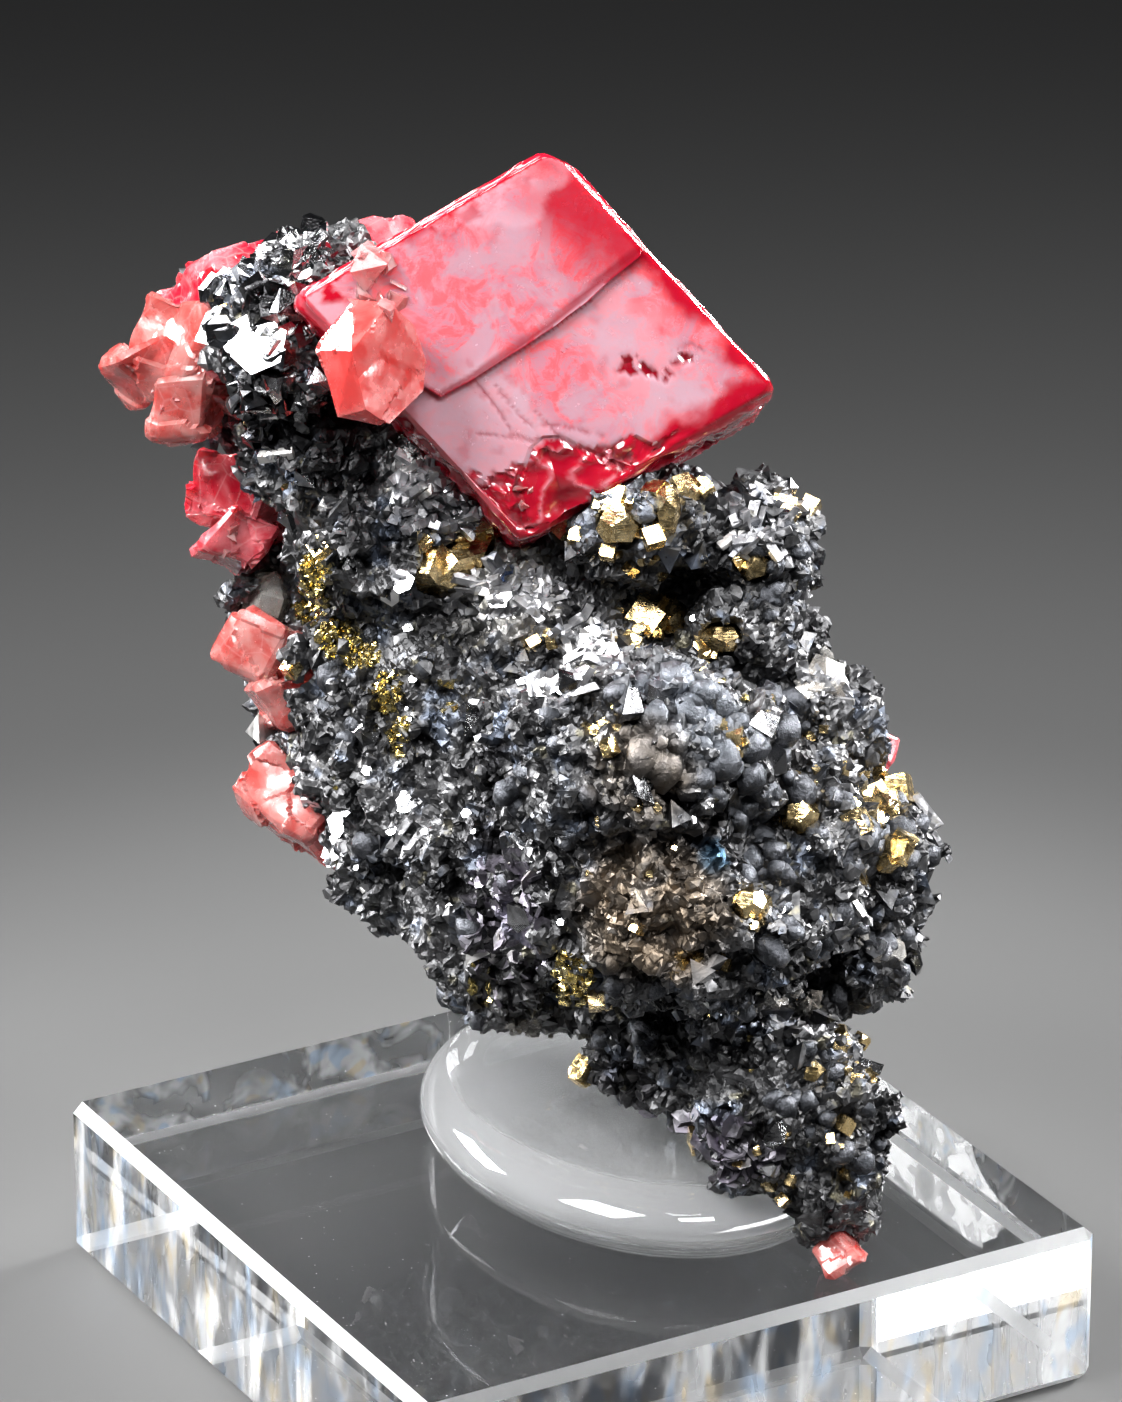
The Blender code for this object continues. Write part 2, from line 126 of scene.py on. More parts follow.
# The main crystal's relief: the sizes of its unevenness, and the depths and heights
ROUGH_SIZE = 1.6
FINE_SIZE = 0.5
WANDER_SIZE = 3.2
RIDGE_SIZE = 2.4
RIDGE_HEIGHT = 0.45
FRONT_DEPTH = 0.25
PIT_DEPTH = 0.1
CRACK_DEPTH = 0.04
CHIP_DEPTH = 0.12
RIM_SMOOTHING = 8

# The matrix's relief: its faces by size, lean and step
MATRIX_VOXEL = 0.45
MATRIX_FACES = ((1.9, 0.42, 0.35), (0.95, 0.5, 0.2))
CRYSTAL_CLEARANCE = 0.55
TILT_SEED = 47
STEP_SEED = 31

# Small crystals by kind. A row is a patch's pixel, its reach across and down, the count,
# and the least and the largest size.
PYRITE_PATCHES = (
    (437, 572, 20, 16, 7, 1.4, 2.8),
    (478, 534, 18, 12, 6, 1.4, 2.6),
    (455, 555, 40, 20, 8, 0.7, 1.4),
    (612, 526, 18, 24, 8, 1.4, 2.8),
    (660, 516, 10, 28, 7, 1.2, 2.4),
    (692, 486, 12, 10, 4, 1.0, 2.0),
    (745, 566, 14, 12, 4, 1.2, 2.0),
    (664, 612, 24, 20, 10, 1.4, 3.0),
    (640, 625, 30, 24, 10, 0.6, 1.2),
    (718, 643, 16, 10, 6, 1.4, 2.4),
    (795, 506, 16, 12, 6, 1.0, 2.0),
    (800, 812, 14, 12, 4, 1.4, 2.4),
    (747, 905, 14, 14, 4, 1.2, 2.2),
    (885, 806, 24, 24, 9, 1.2, 2.4),
    (897, 852, 18, 14, 5, 1.4, 2.4),
    (540, 640, 16, 8, 4, 0.6, 1.4),
    (600, 735, 30, 14, 5, 0.5, 1.3),
    (735, 735, 24, 20, 5, 0.5, 1.3),
    (700, 970, 26, 16, 5, 0.6, 1.6),
    (850, 1080, 50, 50, 14, 0.5, 1.3),
    (800, 1170, 70, 50, 14, 0.4, 1.0),
    (300, 310, 14, 10, 5, 0.4, 1.0),
    (302, 668, 12, 14, 6, 0.6, 1.4),
    (640, 560, 40, 20, 8, 0.5, 1.2),
    (850, 780, 60, 60, 14, 0.4, 1.2),
    (690, 880, 120, 90, 14, 0.4, 1.0),
)
CHALCOPYRITE_PATCHES = (
    (314, 572, 14, 22, 90, 0.35, 0.9),
    (312, 606, 15, 22, 90, 0.35, 0.9),
    (338, 638, 20, 18, 90, 0.35, 0.9),
    (362, 652, 18, 16, 70, 0.35, 0.9),
    (388, 690, 13, 24, 60, 0.35, 0.9),
    (400, 735, 10, 20, 50, 0.35, 0.8),
    (574, 978, 20, 26, 90, 0.4, 1.1),
    (480, 990, 12, 30, 12, 0.4, 0.9),
    (440, 700, 20, 30, 8, 0.4, 0.8),
)
SILVER_PATCHES = (
    (440, 485, 46, 46, 150, 0.8, 2.0),
    (500, 590, 62, 26, 110, 0.7, 1.8),
    (585, 640, 36, 24, 34, 0.8, 1.6),
    (550, 690, 34, 20, 26, 0.8, 1.6),
    (760, 530, 40, 40, 44, 0.8, 1.8),
    (820, 690, 30, 30, 30, 0.7, 1.4),
    (405, 840, 12, 10, 8, 0.8, 1.6),
)
PALE_PLATE_PATCHES = (
    (256, 742, 18, 18, 16, 0.8, 1.8),
    (312, 816, 14, 18, 12, 0.8, 1.8),
    (334, 850, 12, 20, 12, 0.8, 1.8),
    (410, 802, 12, 9, 7, 0.7, 1.4),
    (398, 584, 16, 14, 3, 1.4, 2.2),
)
BLACK_LUMP_PATCHES = (
    (270, 300, 66, 56, 110, 1.4, 3.0),
    (300, 250, 36, 24, 30, 1.2, 2.4),
    (290, 395, 40, 24, 40, 1.0, 2.4),
    (225, 400, 34, 30, 36, 1.0, 2.4),
)
KNOB_PATCHES = (
    (700, 720, 110, 60, 93, 1.1, 3.2),
    (690, 800, 110, 50, 56, 0.9, 2.6),
    (800, 860, 60, 90, 56, 1.1, 3.0),
    (700, 1000, 130, 60, 74, 0.7, 2.4),
    (640, 495, 76, 46, 56, 1.1, 3.0),
    (775, 560, 44, 70, 37, 0.9, 2.6),
    (900, 880, 50, 110, 56, 0.9, 2.8),
    (830, 1110, 70, 70, 50, 0.7, 2.0),
    (540, 780, 60, 90, 37, 0.7, 2.0),
)
PURPLE_PATCHES = (
    (505, 930, 40, 80, 90, 0.8, 1.9),
    (690, 1150, 90, 40, 120, 0.8, 2.0),
    (640, 1140, 30, 30, 30, 0.8, 1.8),
)
GLASSY_PATCHES = (
    (372, 266, 16, 16, 9, 1.4, 3.2),
    (354, 300, 10, 14, 4, 1.2, 2.2),
    (388, 296, 12, 18, 5, 1.2, 2.2),
    (520, 500, 20, 20, 4, 0.6, 1.2),
    (170, 400, 20, 30, 5, 0.8, 1.6),
    (220, 520, 20, 40, 5, 0.8, 1.6),
)
QUARTZ_PATCHES = (
    (822, 676, 26, 22, 26, 0.7, 1.7),
    (795, 1000, 24, 14, 16, 0.8, 1.6),
    (525, 1030, 20, 12, 12, 0.7, 1.4),
    (150, 292, 20, 22, 16, 0.9, 2.0),
    (880, 945, 20, 20, 10, 0.8, 1.6),
)
MIRROR_PATCHES = (
    (256, 340, 10, 8, 3, 3.2, 4.2),
    (320, 320, 6, 8, 2, 1.6, 2.4),
    (220, 277, 4, 5, 2, 1.2, 1.8),
    (201, 310, 3, 4, 1, 1.0, 1.4),
    (290, 258, 8, 6, 2, 0.9, 1.4),
    (398, 584, 5, 5, 1, 1.8, 2.2),
    (452, 500, 30, 30, 8, 0.7, 1.3),
    (520, 600, 40, 16, 8, 0.7, 1.4),
    (590, 640, 20, 10, 4, 0.9, 1.5),
    (556, 690, 20, 10, 4, 0.9, 1.5),
    (256, 742, 12, 12, 4, 0.9, 1.5),
    (325, 835, 22, 30, 6, 0.8, 1.4),
    (408, 802, 10, 6, 3, 0.8, 1.3),
    (880, 950, 10, 10, 2, 1.2, 1.8),
    (800, 1003, 16, 8, 2, 1.2, 2.0),
    (600, 760, 260, 260, 14, 0.4, 0.9),
    (400, 760, 100, 180, 12, 0.3, 0.8),
)

# Places where the metal has its own tint, and near-black spots of painted shade in its crevices and
# recesses: point or pixel, radius, colour and strength
PURPLE_TINT = [((0, 0, 0.04), 200.0, (0.13, 0.11, 0.15), 0.6)]
TINTS_AND_PAINTED_SHADE = (
    ((650, 915), 7.0, (0.20, 0.155, 0.11), 0.8),
    ((640, 770), 5.0, (0.17, 0.14, 0.11), 0.5),
    ((535, 540), 1.6, (0.10, 0.22, 0.55), 0.9),
    ((508, 577), 1.2, (0.12, 0.22, 0.5), 0.8),
    ((715, 857), 1.6, (0.08, 0.22, 0.36), 0.8),
    ((445, 480), 5.0, (0.42, 0.42, 0.42), 0.7),
    ((500, 592), 5.0, (0.46, 0.45, 0.43), 0.7),
    ((620, 500), 5.0, (0.22, 0.24, 0.28), 0.6),
    ((690, 1150), 6.0, (0.2, 0.17, 0.24), 0.7),
    ((505, 930), 5.0, (0.17, 0.15, 0.2), 0.7),
    ((700, 690), 7.0, (0.17, 0.185, 0.21), 0.35),
    # Painted shade: these near-black rows darken the matrix's crevices and recesses, where shade falls
    ((480, 760), 4.0, (0.012, 0.012, 0.014), 0.8),
    ((500, 830), 3.5, (0.012, 0.011, 0.014), 0.8),
    ((440, 640), 3.0, (0.015, 0.015, 0.016), 0.7),
    ((700, 590), 4.0, (0.012, 0.012, 0.012), 0.8),
    ((560, 560), 2.5, (0.014, 0.014, 0.015), 0.7),
    ((820, 640), 3.0, (0.014, 0.014, 0.015), 0.8),
    ((850, 970), 4.0, (0.012, 0.012, 0.013), 0.8),
    ((800, 750), 3.5, (0.014, 0.013, 0.013), 0.7),
    ((690, 840), 3.5, (0.014, 0.012, 0.011), 0.7),
    ((260, 410), 5.0, (0.01, 0.01, 0.012), 0.8),
    ((340, 440), 3.5, (0.012, 0.012, 0.013), 0.7),
    ((620, 1080), 4.0, (0.012, 0.011, 0.014), 0.7),
)

# Where nothing large may grow in front of a crystal: pixel, radius and the largest size
OPEN_VIEWS = (
    ((180, 262), 2.6, 0.0),
    ((215, 232), 2.4, 0.0),
    ((245, 214), 1.6, 0.0),
    ((340, 216), 2.4, 0.0),
    ((385, 222), 2.0, 0.0),
    ((400, 290), 2.6, 0.5),
    ((305, 510), 1.0, 0.0),
)

# Small growths all over the matrix
TETRAHEDRON_COUNT = 900
SHARD_COUNT = 6400
SPECK_COUNT = 13000
SIZE_POWER = 1.6

# How far the others stay from the larger crystals, as a share of their size, and which may touch them
PATCH_CLEARANCE = 0.4
TOUCHING = ("pyrite_grains", "glassy_crystals")

# Clusters on the far side, by piece: how many tries, how rare they are, and the sizes
CLUSTER_SIZE = 9.0
FAR_CLUSTERS = {
    "tetrahedrite_knobs": (2600, 0.12, (1.0, 2.8)),
    "pyrite_grains": (700, 0.28, (0.7, 2.4)),
    "chalcopyrite_crust": (5000, 0.36, (0.35, 1.0)),
    "silver_blades": (2400, 0.3, (0.7, 1.8)),
    "black_crystals": (1800, 0.16, (1.2, 3.0)),
}

# How far the small shapes reach, for a size of 1
TETRAHEDRON_REACH = 0.62
SHARD_REACH = 0.6
LUMP_REACH = 0.55
PLATE_REACH = 0.62

# The smaller red crystals: how fine their meshes are, their swell, and their faces' size, lean and step
CRYSTAL_GRID = 0.45
CRYSTAL_RELIEF = (0.75, (3.4, 0.13, 0.22))
GEM_RELIEF = (0.1, (6.0, 0.05, 0.1))

# Floor: its tones by share of the fade, and a painted shadow under the slab
FLOOR_LEVEL = -0.05
FLOOR_RADIUS = 1600.0
FLOOR_FADE = 400.0
PAINTED_SHADOW_CENTRE = (-9, -16, 0)
PAINTED_SHADOW_REACH = 30.0
PAINTED_SHADOW_TONE = (0.012, 0.012, 0.013)
FLOOR_TONES = ((0.06, 0.06), (0.16, 0.041), (0.3, 0.0115), (0.5, 0.0058), (1.0, 0.0095))

# Softboxes: degrees right of the camera and up, distance, width and height, watts, spread in degrees
LIGHT_TARGET = (0, 0, 45)
SOFTBOXES = {
    "key": (*KEY_PLACE, 520, (240, 240), 1.2, 70),
    "top": (20, 80, 480, (240, 160), 0.3, 90),
    "right": (75, 30, 520, (110, 300), 0.6, 70),
    "front": (8, 58, 560, (180, 100), 0.38, 70),
    "back left": (-118, 26, 700, (300, 140), 0.8, 30),
    "back right": (122, 26, 700, (300, 140), 0.8, 30),
}
AMBIENT = (0.5, 0.52, 0.56, 1)
AMBIENT_STRENGTH = 0.1


def place(across, up, toward):
    """A point of the display frame, in metres."""
    return (ACROSS * across + UP * up + TOWARD * toward + Vector((0, 0, SLAB_TOP))) * MM


def turned(roll, pitch=0, yaw=0):
    """A rotation out of the display frame, in degrees: yaw about up, then pitch about across, then roll."""
    turn = (
        Matrix.Rotation(math.radians(roll), 3, "Z")
        @ Matrix.Rotation(math.radians(pitch), 3, "X")
        @ Matrix.Rotation(math.radians(yaw), 3, "Y")
    )
    return DISPLAY @ turn


def sight(column, row):
    """The direction in which the camera sees a pixel of the frame."""
    across = (column - FRAME_SIZE[0] / 2) / FOCAL_PIXELS
    up = (FRAME_SIZE[1] / 2 - row) / FOCAL_PIXELS
    return (ACROSS * across + UP * up - TOWARD).normalized()


def add_object(name, data):
    obj = bpy.data.objects.new(name, data)
    scene.collection.objects.link(obj)
    return obj


def add_camera():
    camera = bpy.data.cameras.new("camera")
    camera.sensor_width = SENSOR
    camera.sensor_fit = "AUTO"
    camera.lens = FOCAL_PIXELS / max(FRAME_SIZE) * SENSOR
    camera.clip_end = CLIP_END
    obj = add_object("camera", camera)
    view = DISPLAY.to_4x4()
    view.translation = CAMERA_PLACE
    obj.matrix_world = view
    scene.camera = obj
    scene.view_settings.view_transform = "Standard"


class Finish:
    """A material's node tree, with short calls for the nodes used here. Sizes are in millimetres."""

    def __init__(self, name, **values):
        self.material = bpy.data.materials.new(name)
        self.material.use_nodes = True
        self.tree = self.material.node_tree
        self.shader = self.tree.nodes["Principled BSDF"]
        self.out = self.tree.nodes["Material Output"]
        self.point = self.add("TexCoord").outputs["Object"]
        for socket, value in values.items():
            self.set(socket.replace("_", " "), value)

    def add(self, kind, **settings):
        node = self.tree.nodes.new("ShaderNode" + kind)
        for name, value in settings.items():
            setattr(node, name, value)
        return node

    def feed(self, socket, value):
        """Links a node's output to a socket, or sets the socket's own value."""
        if isinstance(value, bpy.types.NodeSocket):
            self.tree.links.new(value, socket)
        else:
            socket.default_value = value

    def set(self, name, value):
        if isinstance(value, tuple) and len(value) == 3 and name != "Subsurface Radius":
            value = (*value, 1)
        self.feed(self.shader.inputs[name], value)

    def math(self, operation, first, second=0.0, clamp=False):
        node = self.add("Math", operation=operation, use_clamp=clamp)
        self.feed(node.inputs[0], first)
        self.feed(node.inputs[1], second)
        return node.outputs[0]

    def times(self, first, second):
        return self.math("MULTIPLY", first, second)

    def vector(self, operation, first, second=(0, 0, 0)):
        node = self.add("VectorMath", operation=operation)
        self.feed(node.inputs[0], first)
        self.feed(node.inputs[1], second)
        return node.outputs["Value" if operation == "DISTANCE" else "Vector"]

    def stretched(self, factors):
        return self.vector("MULTIPLY", self.point, factors)

    def noise(self, size, detail=3.0, roughness=0.55, distortion=0.0, point=None):
        node = self.add("TexNoise")
        self.feed(node.inputs["Vector"], point or self.point)
        node.inputs["Scale"].default_value = 1 / (size * MM)
        node.inputs["Detail"].default_value = detail
        node.inputs["Roughness"].default_value = roughness
        node.inputs["Distortion"].default_value = distortion
        return node.outputs["Fac"]

    def cells(self, size, feature="F1", output="Color"):
        node = self.add("TexVoronoi", feature=feature)
        self.feed(node.inputs["Vector"], self.point)
        node.inputs["Scale"].default_value = 1 / (size * MM)
        return node.outputs[output]

    def span(self, value, low, high, start=0.0, end=1.0):
        """Maps low..high to start..end smoothly and holds it there beyond."""
        node = self.add("MapRange", interpolation_type="SMOOTHSTEP")
        for socket, number in zip(node.inputs[:5], (value, low, high, start, end)):
            self.feed(socket, number)
        return node.outputs[0]

    def clouds(self, size, detail, low, high, start=0.0, end=1.0):
        """Noise of a size, mapped like a span."""
        return self.span(self.noise(size, detail), low, high, start, end)

    def mix(self, share, first, second):
        node = self.add("Mix", data_type="RGBA")
        self.feed(node.inputs[0], share)
        for socket, value in ((node.inputs[6], first), (node.inputs[7], second)):
            self.feed(socket, (*value, 1) if isinstance(value, tuple) else value)
        return node.outputs[2]

    def blob(self, centre, radius, softness=0.5):
        """1 near a point, in metres, and 0 past the radius."""
        away = self.vector("DISTANCE", self.point, tuple(centre))
        return self.span(away, radius * MM * (1 - softness), radius * MM, 1.0, 0.0)

    def bump(self, height, distance, strength=1.0, normal=None):
        node = self.add("Bump")
        self.feed(node.inputs["Height"], height)
        node.inputs["Distance"].default_value = distance * MM
        self.feed(node.inputs["Strength"], strength)
        if normal:
            self.feed(node.inputs["Normal"], normal)
        return node.outputs[0]

    def sparkle(self, size, lean):
        """The normal, leaning its own way in each small crystal face."""
        tilt = self.vector("SUBTRACT", self.cells(size), (0.5, 0.5, 0.5))
        leaning = self.vector("MULTIPLY", tilt, (lean, lean, lean))
        normal = self.add("NewGeometry").outputs["Normal"]
        return self.vector("NORMALIZE", self.vector("ADD", normal, leaning))

    def glow(self, red, other):
        """Light that spreads under the skin, the red further than the rest."""
        self.set("Subsurface Weight", 0.35)
        self.set("Subsurface Radius", (red * MM, other * MM, other * MM))
        self.set("Subsurface Scale", 1.0)

    def absorb(self, colour, density):
        node = self.add("VolumeAbsorption")
        node.inputs["Color"].default_value = (*colour, 1)
        node.inputs["Density"].default_value = density
        self.tree.links.new(node.outputs[0], self.out.inputs["Volume"])


def surface_spot(tree, column, row):
    """Where the camera's ray through a pixel meets a mesh, with the normal there, or None."""
    point, normal, _, _ = tree.ray_cast(CAMERA_PLACE, sight(column, row))
    return (point, normal) if point else None


def tetrahedrite_finish(
    name, zones, sparkle_size, lean, dark=0.05, light=0.28, bright=0.1, gloss=(0.38, 0.66)
):
    """Dark grey metal with a clotted tone, tarnish spots, near-black spots of painted shade in its recesses
    and small faces that catch the light.
    """
    finish = Finish(name, Metallic=1.0)
    clot = finish.noise(5.0, 4)
    fine = finish.noise(0.7, 3)
    tone = finish.span(finish.math("ADD", clot, finish.times(fine, 0.6)), 0.55, 1.0)
    colour = finish.mix(tone, (dark, dark, dark * 1.06), (light, light, light * 1.03))
    island = finish.add("NewGeometry").outputs["Random Per Island"]
    shiny = finish.span(island, 1 - bright, 1 - bright * 0.6)
    colour = finish.mix(shiny, colour, (0.6, 0.59, 0.58))
    blue = finish.clouds(3.3, 2, 0.56, 0.7, 0.0, 0.5)
    colour = finish.mix(blue, colour, (0.14, 0.17, 0.23))
    olive = finish.clouds(2.1, 3, 0.62, 0.72, 0.0, 0.5)
    colour = finish.mix(olive, colour, (0.26, 0.24, 0.16))
    # The zones: tarnish tints, and near-black spots of painted shade in the recesses
    for centre, radius, tint, strength in zones:
        share = finish.times(finish.blob(centre, radius), strength)
        patchy = finish.times(share, finish.clouds(1.4, 3, 0.35, 0.6, 0.35, 1))
        colour = finish.mix(patchy, colour, tint)
    finish.set("Base Color", colour)
    finish.set("Roughness", finish.clouds(0.9, 4, 0.3, 0.75, *gloss))
    normal = finish.sparkle(sparkle_size, lean)
    finish.set("Normal", finish.bump(finish.noise(0.18, 3), 0.05, 0.6, normal))
    return finish.material


def knob_finish(zones):
    """Gunmetal: dull blue-grey crystals, rounded at their edges, that crowd into domes."""
    finish = Finish("gunmetal", Metallic=1.0)
    tone = finish.clouds(1.3, 4, 0.3, 0.75)
    colour = finish.mix(tone, (0.012, 0.013, 0.015), (0.105, 0.108, 0.12))
    island = finish.add("NewGeometry").outputs["Random Per Island"]
    colour = finish.mix(finish.times(island, 0.25), colour, (0.16, 0.17, 0.19))
    # The zones tint the metal, and their near-black ones paint shade into the recesses
    for centre, radius, tint, strength in zones:
        share = finish.times(finish.blob(centre, radius), strength)
        colour = finish.mix(share, colour, tint)
    finish.set("Base Color", colour)
    finish.set("Roughness", finish.clouds(0.7, 4, 0.3, 0.7, 0.34, 0.6))
    normal = finish.sparkle(0.8, 0.35)
    finish.set("Normal", finish.bump(finish.noise(0.45, 5, 0.65), 0.22, 0.9, normal))
    return finish.material


def brass_finish(name, colour, tarnish, grain=0.5):
    """Pyrite: bright brass metal with growth lines, dull and rusty in places."""
    finish = Finish(name, Metallic=1.0)
    tone = finish.clouds(0.8, 4, 0.35, 0.7)
    island = finish.add("NewGeometry").outputs["Random Per Island"]
    tint = finish.mix(tone, tarnish, colour)
    tint = finish.mix(finish.times(island, 0.25), tint, (0.97, 0.86, 0.6))
    finish.set("Base Color", tint)
    finish.set("Roughness", finish.clouds(0.5, 3, 0.3, 0.7, 0.13, 0.32))
    lines = finish.noise(0.35, 2, point=finish.stretched((0.12, 0.5, 2.0)))
    normal = finish.sparkle(grain, 0.14)
    finish.set("Normal", finish.bump(lines, 0.06, 0.8, normal))
    return finish.material


def rhodochrosite_finish(name, deep, pale, cloud_size=2.6, clear=0.35, density=90.0, veins=0.3):
    """Translucent red crystal: clouds of paler inclusions, fine healed cracks and a glossy skin."""
    finish = Finish(name, IOR=1.6, Transmission_Weight=clear, Coat_Weight=0.15, Coat_Roughness=0.1)
    cloud = finish.span(finish.noise(cloud_size, 5, 0.6, 0.6), 0.38, 0.66)
    vein = finish.cells(cloud_size * 0.8, "DISTANCE_TO_EDGE", "Distance")
    vein = finish.span(vein, 0.0, 0.04, veins, 0.0)
    colour = finish.mix(cloud, deep, pale)
    finish.set("Base Color", finish.mix(vein, colour, (0.7, 0.36, 0.36)))
    finish.glow(2.4, 0.5)
    finish.set("Roughness", finish.clouds(1.2, 4, 0.35, 0.7, 0.12, 0.34))
    finish.set("Normal", finish.bump(finish.noise(0.5, 5, 0.6), 0.05, 0.5))
    finish.absorb((0.92, 0.16, 0.2), density)
    return finish.material


def main_finish():
    """The main crystal: its mesh says how crimson, how grey and how milky it is at each place, and where
    light is painted on its lower-left side.
    """
    finish = Finish("main crystal", IOR=1.6, Transmission_Weight=0.12, Coat_Weight=0.35)
    finish.set("Coat Roughness", 0.12)
    red, grey, milk_and_painted_light, dark = [
        finish.add("Attribute", attribute_name=name).outputs["Fac"] for name in MAIN_MASKS
    ]
    cloud = finish.span(finish.noise(2.2, 9, 0.72, 1.2), 0.42, 0.58)
    hatch = finish.noise(0.35, 6, 0.7, point=finish.stretched((1.0, 0.3, 1.8)))
    cloud = finish.math("ADD", cloud, finish.span(hatch, 0.52, 0.7, 0.0, 0.6), True)
    colour = finish.mix(cloud, (0.42, 0.17, 0.22), (0.66, 0.10, 0.12))
    haze = finish.span(finish.noise(4.6, 8, 0.7, 0.8), 0.47, 0.6, 0.0, 0.85)
    colour = finish.mix(haze, colour, (0.40, 0.23, 0.28))
    colour = finish.mix(grey, colour, (0.46, 0.29, 0.34))
    colour = finish.mix(red, colour, (0.34, 0.003, 0.016))
    colour = finish.mix(milk_and_painted_light, colour, (0.62, 0.36, 0.42))
    colour = finish.mix(dark, colour, (0.20, 0.001, 0.008))
    finish.set("Base Color", colour)
    finish.glow(2.6, 0.4)
    finish.set("Roughness", finish.clouds(1.5, 4, 0.35, 0.7, 0.1, 0.3))
    finish.set("Normal", finish.bump(finish.noise(0.4, 5, 0.6), 0.03, 0.4))
    finish.absorb((0.9, 0.06, 0.1), 130.0)
    return finish.material


def quartz_finish():
    finish = Finish("quartz", IOR=1.54, Transmission_Weight=0.75)
    cloud = finish.clouds(1.6, 4, 0.4, 0.65)
    finish.set("Base Color", finish.mix(cloud, (0.86, 0.84, 0.8), (0.62, 0.56, 0.5)))
    finish.set("Roughness", finish.clouds(0.8, 3, 0.3, 0.7, 0.05, 0.3))
    finish.set("Normal", finish.bump(finish.noise(0.5, 4), 0.06, 0.5))
    return finish.material


def acrylic_finish(name, scratched):
    """Clear acrylic. The slab's sawn chamfers are frosted, its top has hairline scratches and dust, and its
    sides carry painted streaks of white, blue and gold light.
    """
    finish = Finish(name, IOR=1.49, Transmission_Weight=1.0)
    finish.set("Base Color", (0.97, 0.98, 0.99))
    if not scratched:
        finish.set("Roughness", 0.0)
        # Painted light: a share of diffuse white brightens the cushion in place of the pale floor seen
        # through it
        finish.set("Transmission Weight", 0.92)
        return finish.material
    normal = finish.add("NewGeometry").outputs["Normal"]
    size = finish.vector("ABSOLUTE", normal)
    parts = finish.add("SeparateXYZ")
    finish.feed(parts.inputs[0], size)
    flat = finish.math("MAXIMUM", parts.outputs[0], parts.outputs[1])
    flat = finish.math("MAXIMUM", flat, parts.outputs[2])
    frosted = finish.span(flat, 0.9, 0.99, 1.0, 0.0)
    scratch = finish.noise(4.0, 6, 0.8, point=finish.stretched((0.08, 2.5, 1)))
    scratch = finish.span(scratch, 0.62, 0.7, 0.0, 0.08)
    # Painted light: pale streaks on the slab's sides, tinted blue and gold, stand in for light carried
    # through the acrylic
    side = finish.span(parts.outputs[2], 0.02, 0.1, 1.0, 0.0)
    light_streaks = finish.noise(4.2, 3, 0.55, 0.5, finish.stretched((1, 1, 0.35)))
    painted_shine = finish.times(finish.span(light_streaks, 0.46, 0.7), finish.times(side, 0.45))
    light_tints = finish.noise(2.2, 1, point=finish.stretched((1, 1, 0.4)))
    cool_light = finish.mix(finish.span(light_tints, 0.36, 0.46), (0.62, 0.78, 1.0), (0.97, 0.98, 0.99))
    streak_light_colour = finish.mix(finish.span(light_tints, 0.6, 0.68), cool_light, (1.0, 0.86, 0.62))
    finish.set("Base Color", finish.mix(side, (0.97, 0.98, 0.99), streak_light_colour))
    dust = finish.span(finish.cells(0.8, output="Distance"), 0.05, 0.1, 0.55, 0.0)
    dust = finish.times(dust, finish.clouds(6.0, 3, 0.45, 0.65))
    dust = finish.times(dust, finish.span(parts.outputs[2], 0.9, 0.99))
    dust_and_painted_light = finish.math("ADD", painted_shine, dust, True)
    finish.set("Transmission Weight", finish.math("SUBTRACT", 1.0, dust_and_painted_light))
    finish.set("Roughness", finish.math("ADD", finish.times(frosted, 0.45), scratch))
    saw = finish.noise(0.5, 3)
    finish.set("Normal", finish.bump(saw, 0.03, finish.times(frosted, 0.5)))
    return finish.material


def floor_finish():
    """A matt floor, pale round the object, darker further out, with a painted shadow right under the slab.
    """
    finish = Finish("floor", Roughness=0.75)
    away = finish.vector("DISTANCE", finish.point)
    shade = finish.add("ValToRGB")
    shade.color_ramp.interpolation = "EASE"
    finish.feed(shade.inputs[0], finish.math("DIVIDE", away, FLOOR_FADE * MM))
    stops = shade.color_ramp.elements
    for _ in FLOOR_TONES[2:]:
        stops.new(0.5)
    for stop, (share, tone) in zip(stops, FLOOR_TONES):
        stop.position = share
        stop.color = (tone, tone, tone, 1)
    # Painted shadow: a dark patch on the floor under the slab and the specimen
    shadow_spot = tuple(Vector(PAINTED_SHADOW_CENTRE) * MM)
    share = finish.times(finish.blob(shadow_spot, PAINTED_SHADOW_REACH, 0.7), 0.75)
    finish.set("Base Color", finish.mix(share, shade.outputs[0], PAINTED_SHADOW_TONE))
    return finish.material


def new_piece(name, mesh, finish):
    obj = add_object(name, mesh)
    mesh.materials.clear()
    mesh.materials.append(finish)
    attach(obj, "root")
    return obj


def tree_of(mesh):
    mesh.calc_loop_triangles()
    verts = [v.co.copy() for v in mesh.vertices]
    return BVHTree.FromPolygons(verts, [tuple(t.vertices) for t in mesh.loop_triangles])


def face_height(point, size, lean, step):
    """The height of a patchwork of flat crystal faces, each with its own lean and level."""
    spot = point / (size * MM)
    centre = noise.voronoi(spot)[1][0]
    tilt = noise.cell_vector(centre * TILT_SEED) * 2 - Vector((1, 1, 1))
    return ((spot - centre).dot(tilt) * lean * size + noise.cell(centre * STEP_SEED) * step) * MM


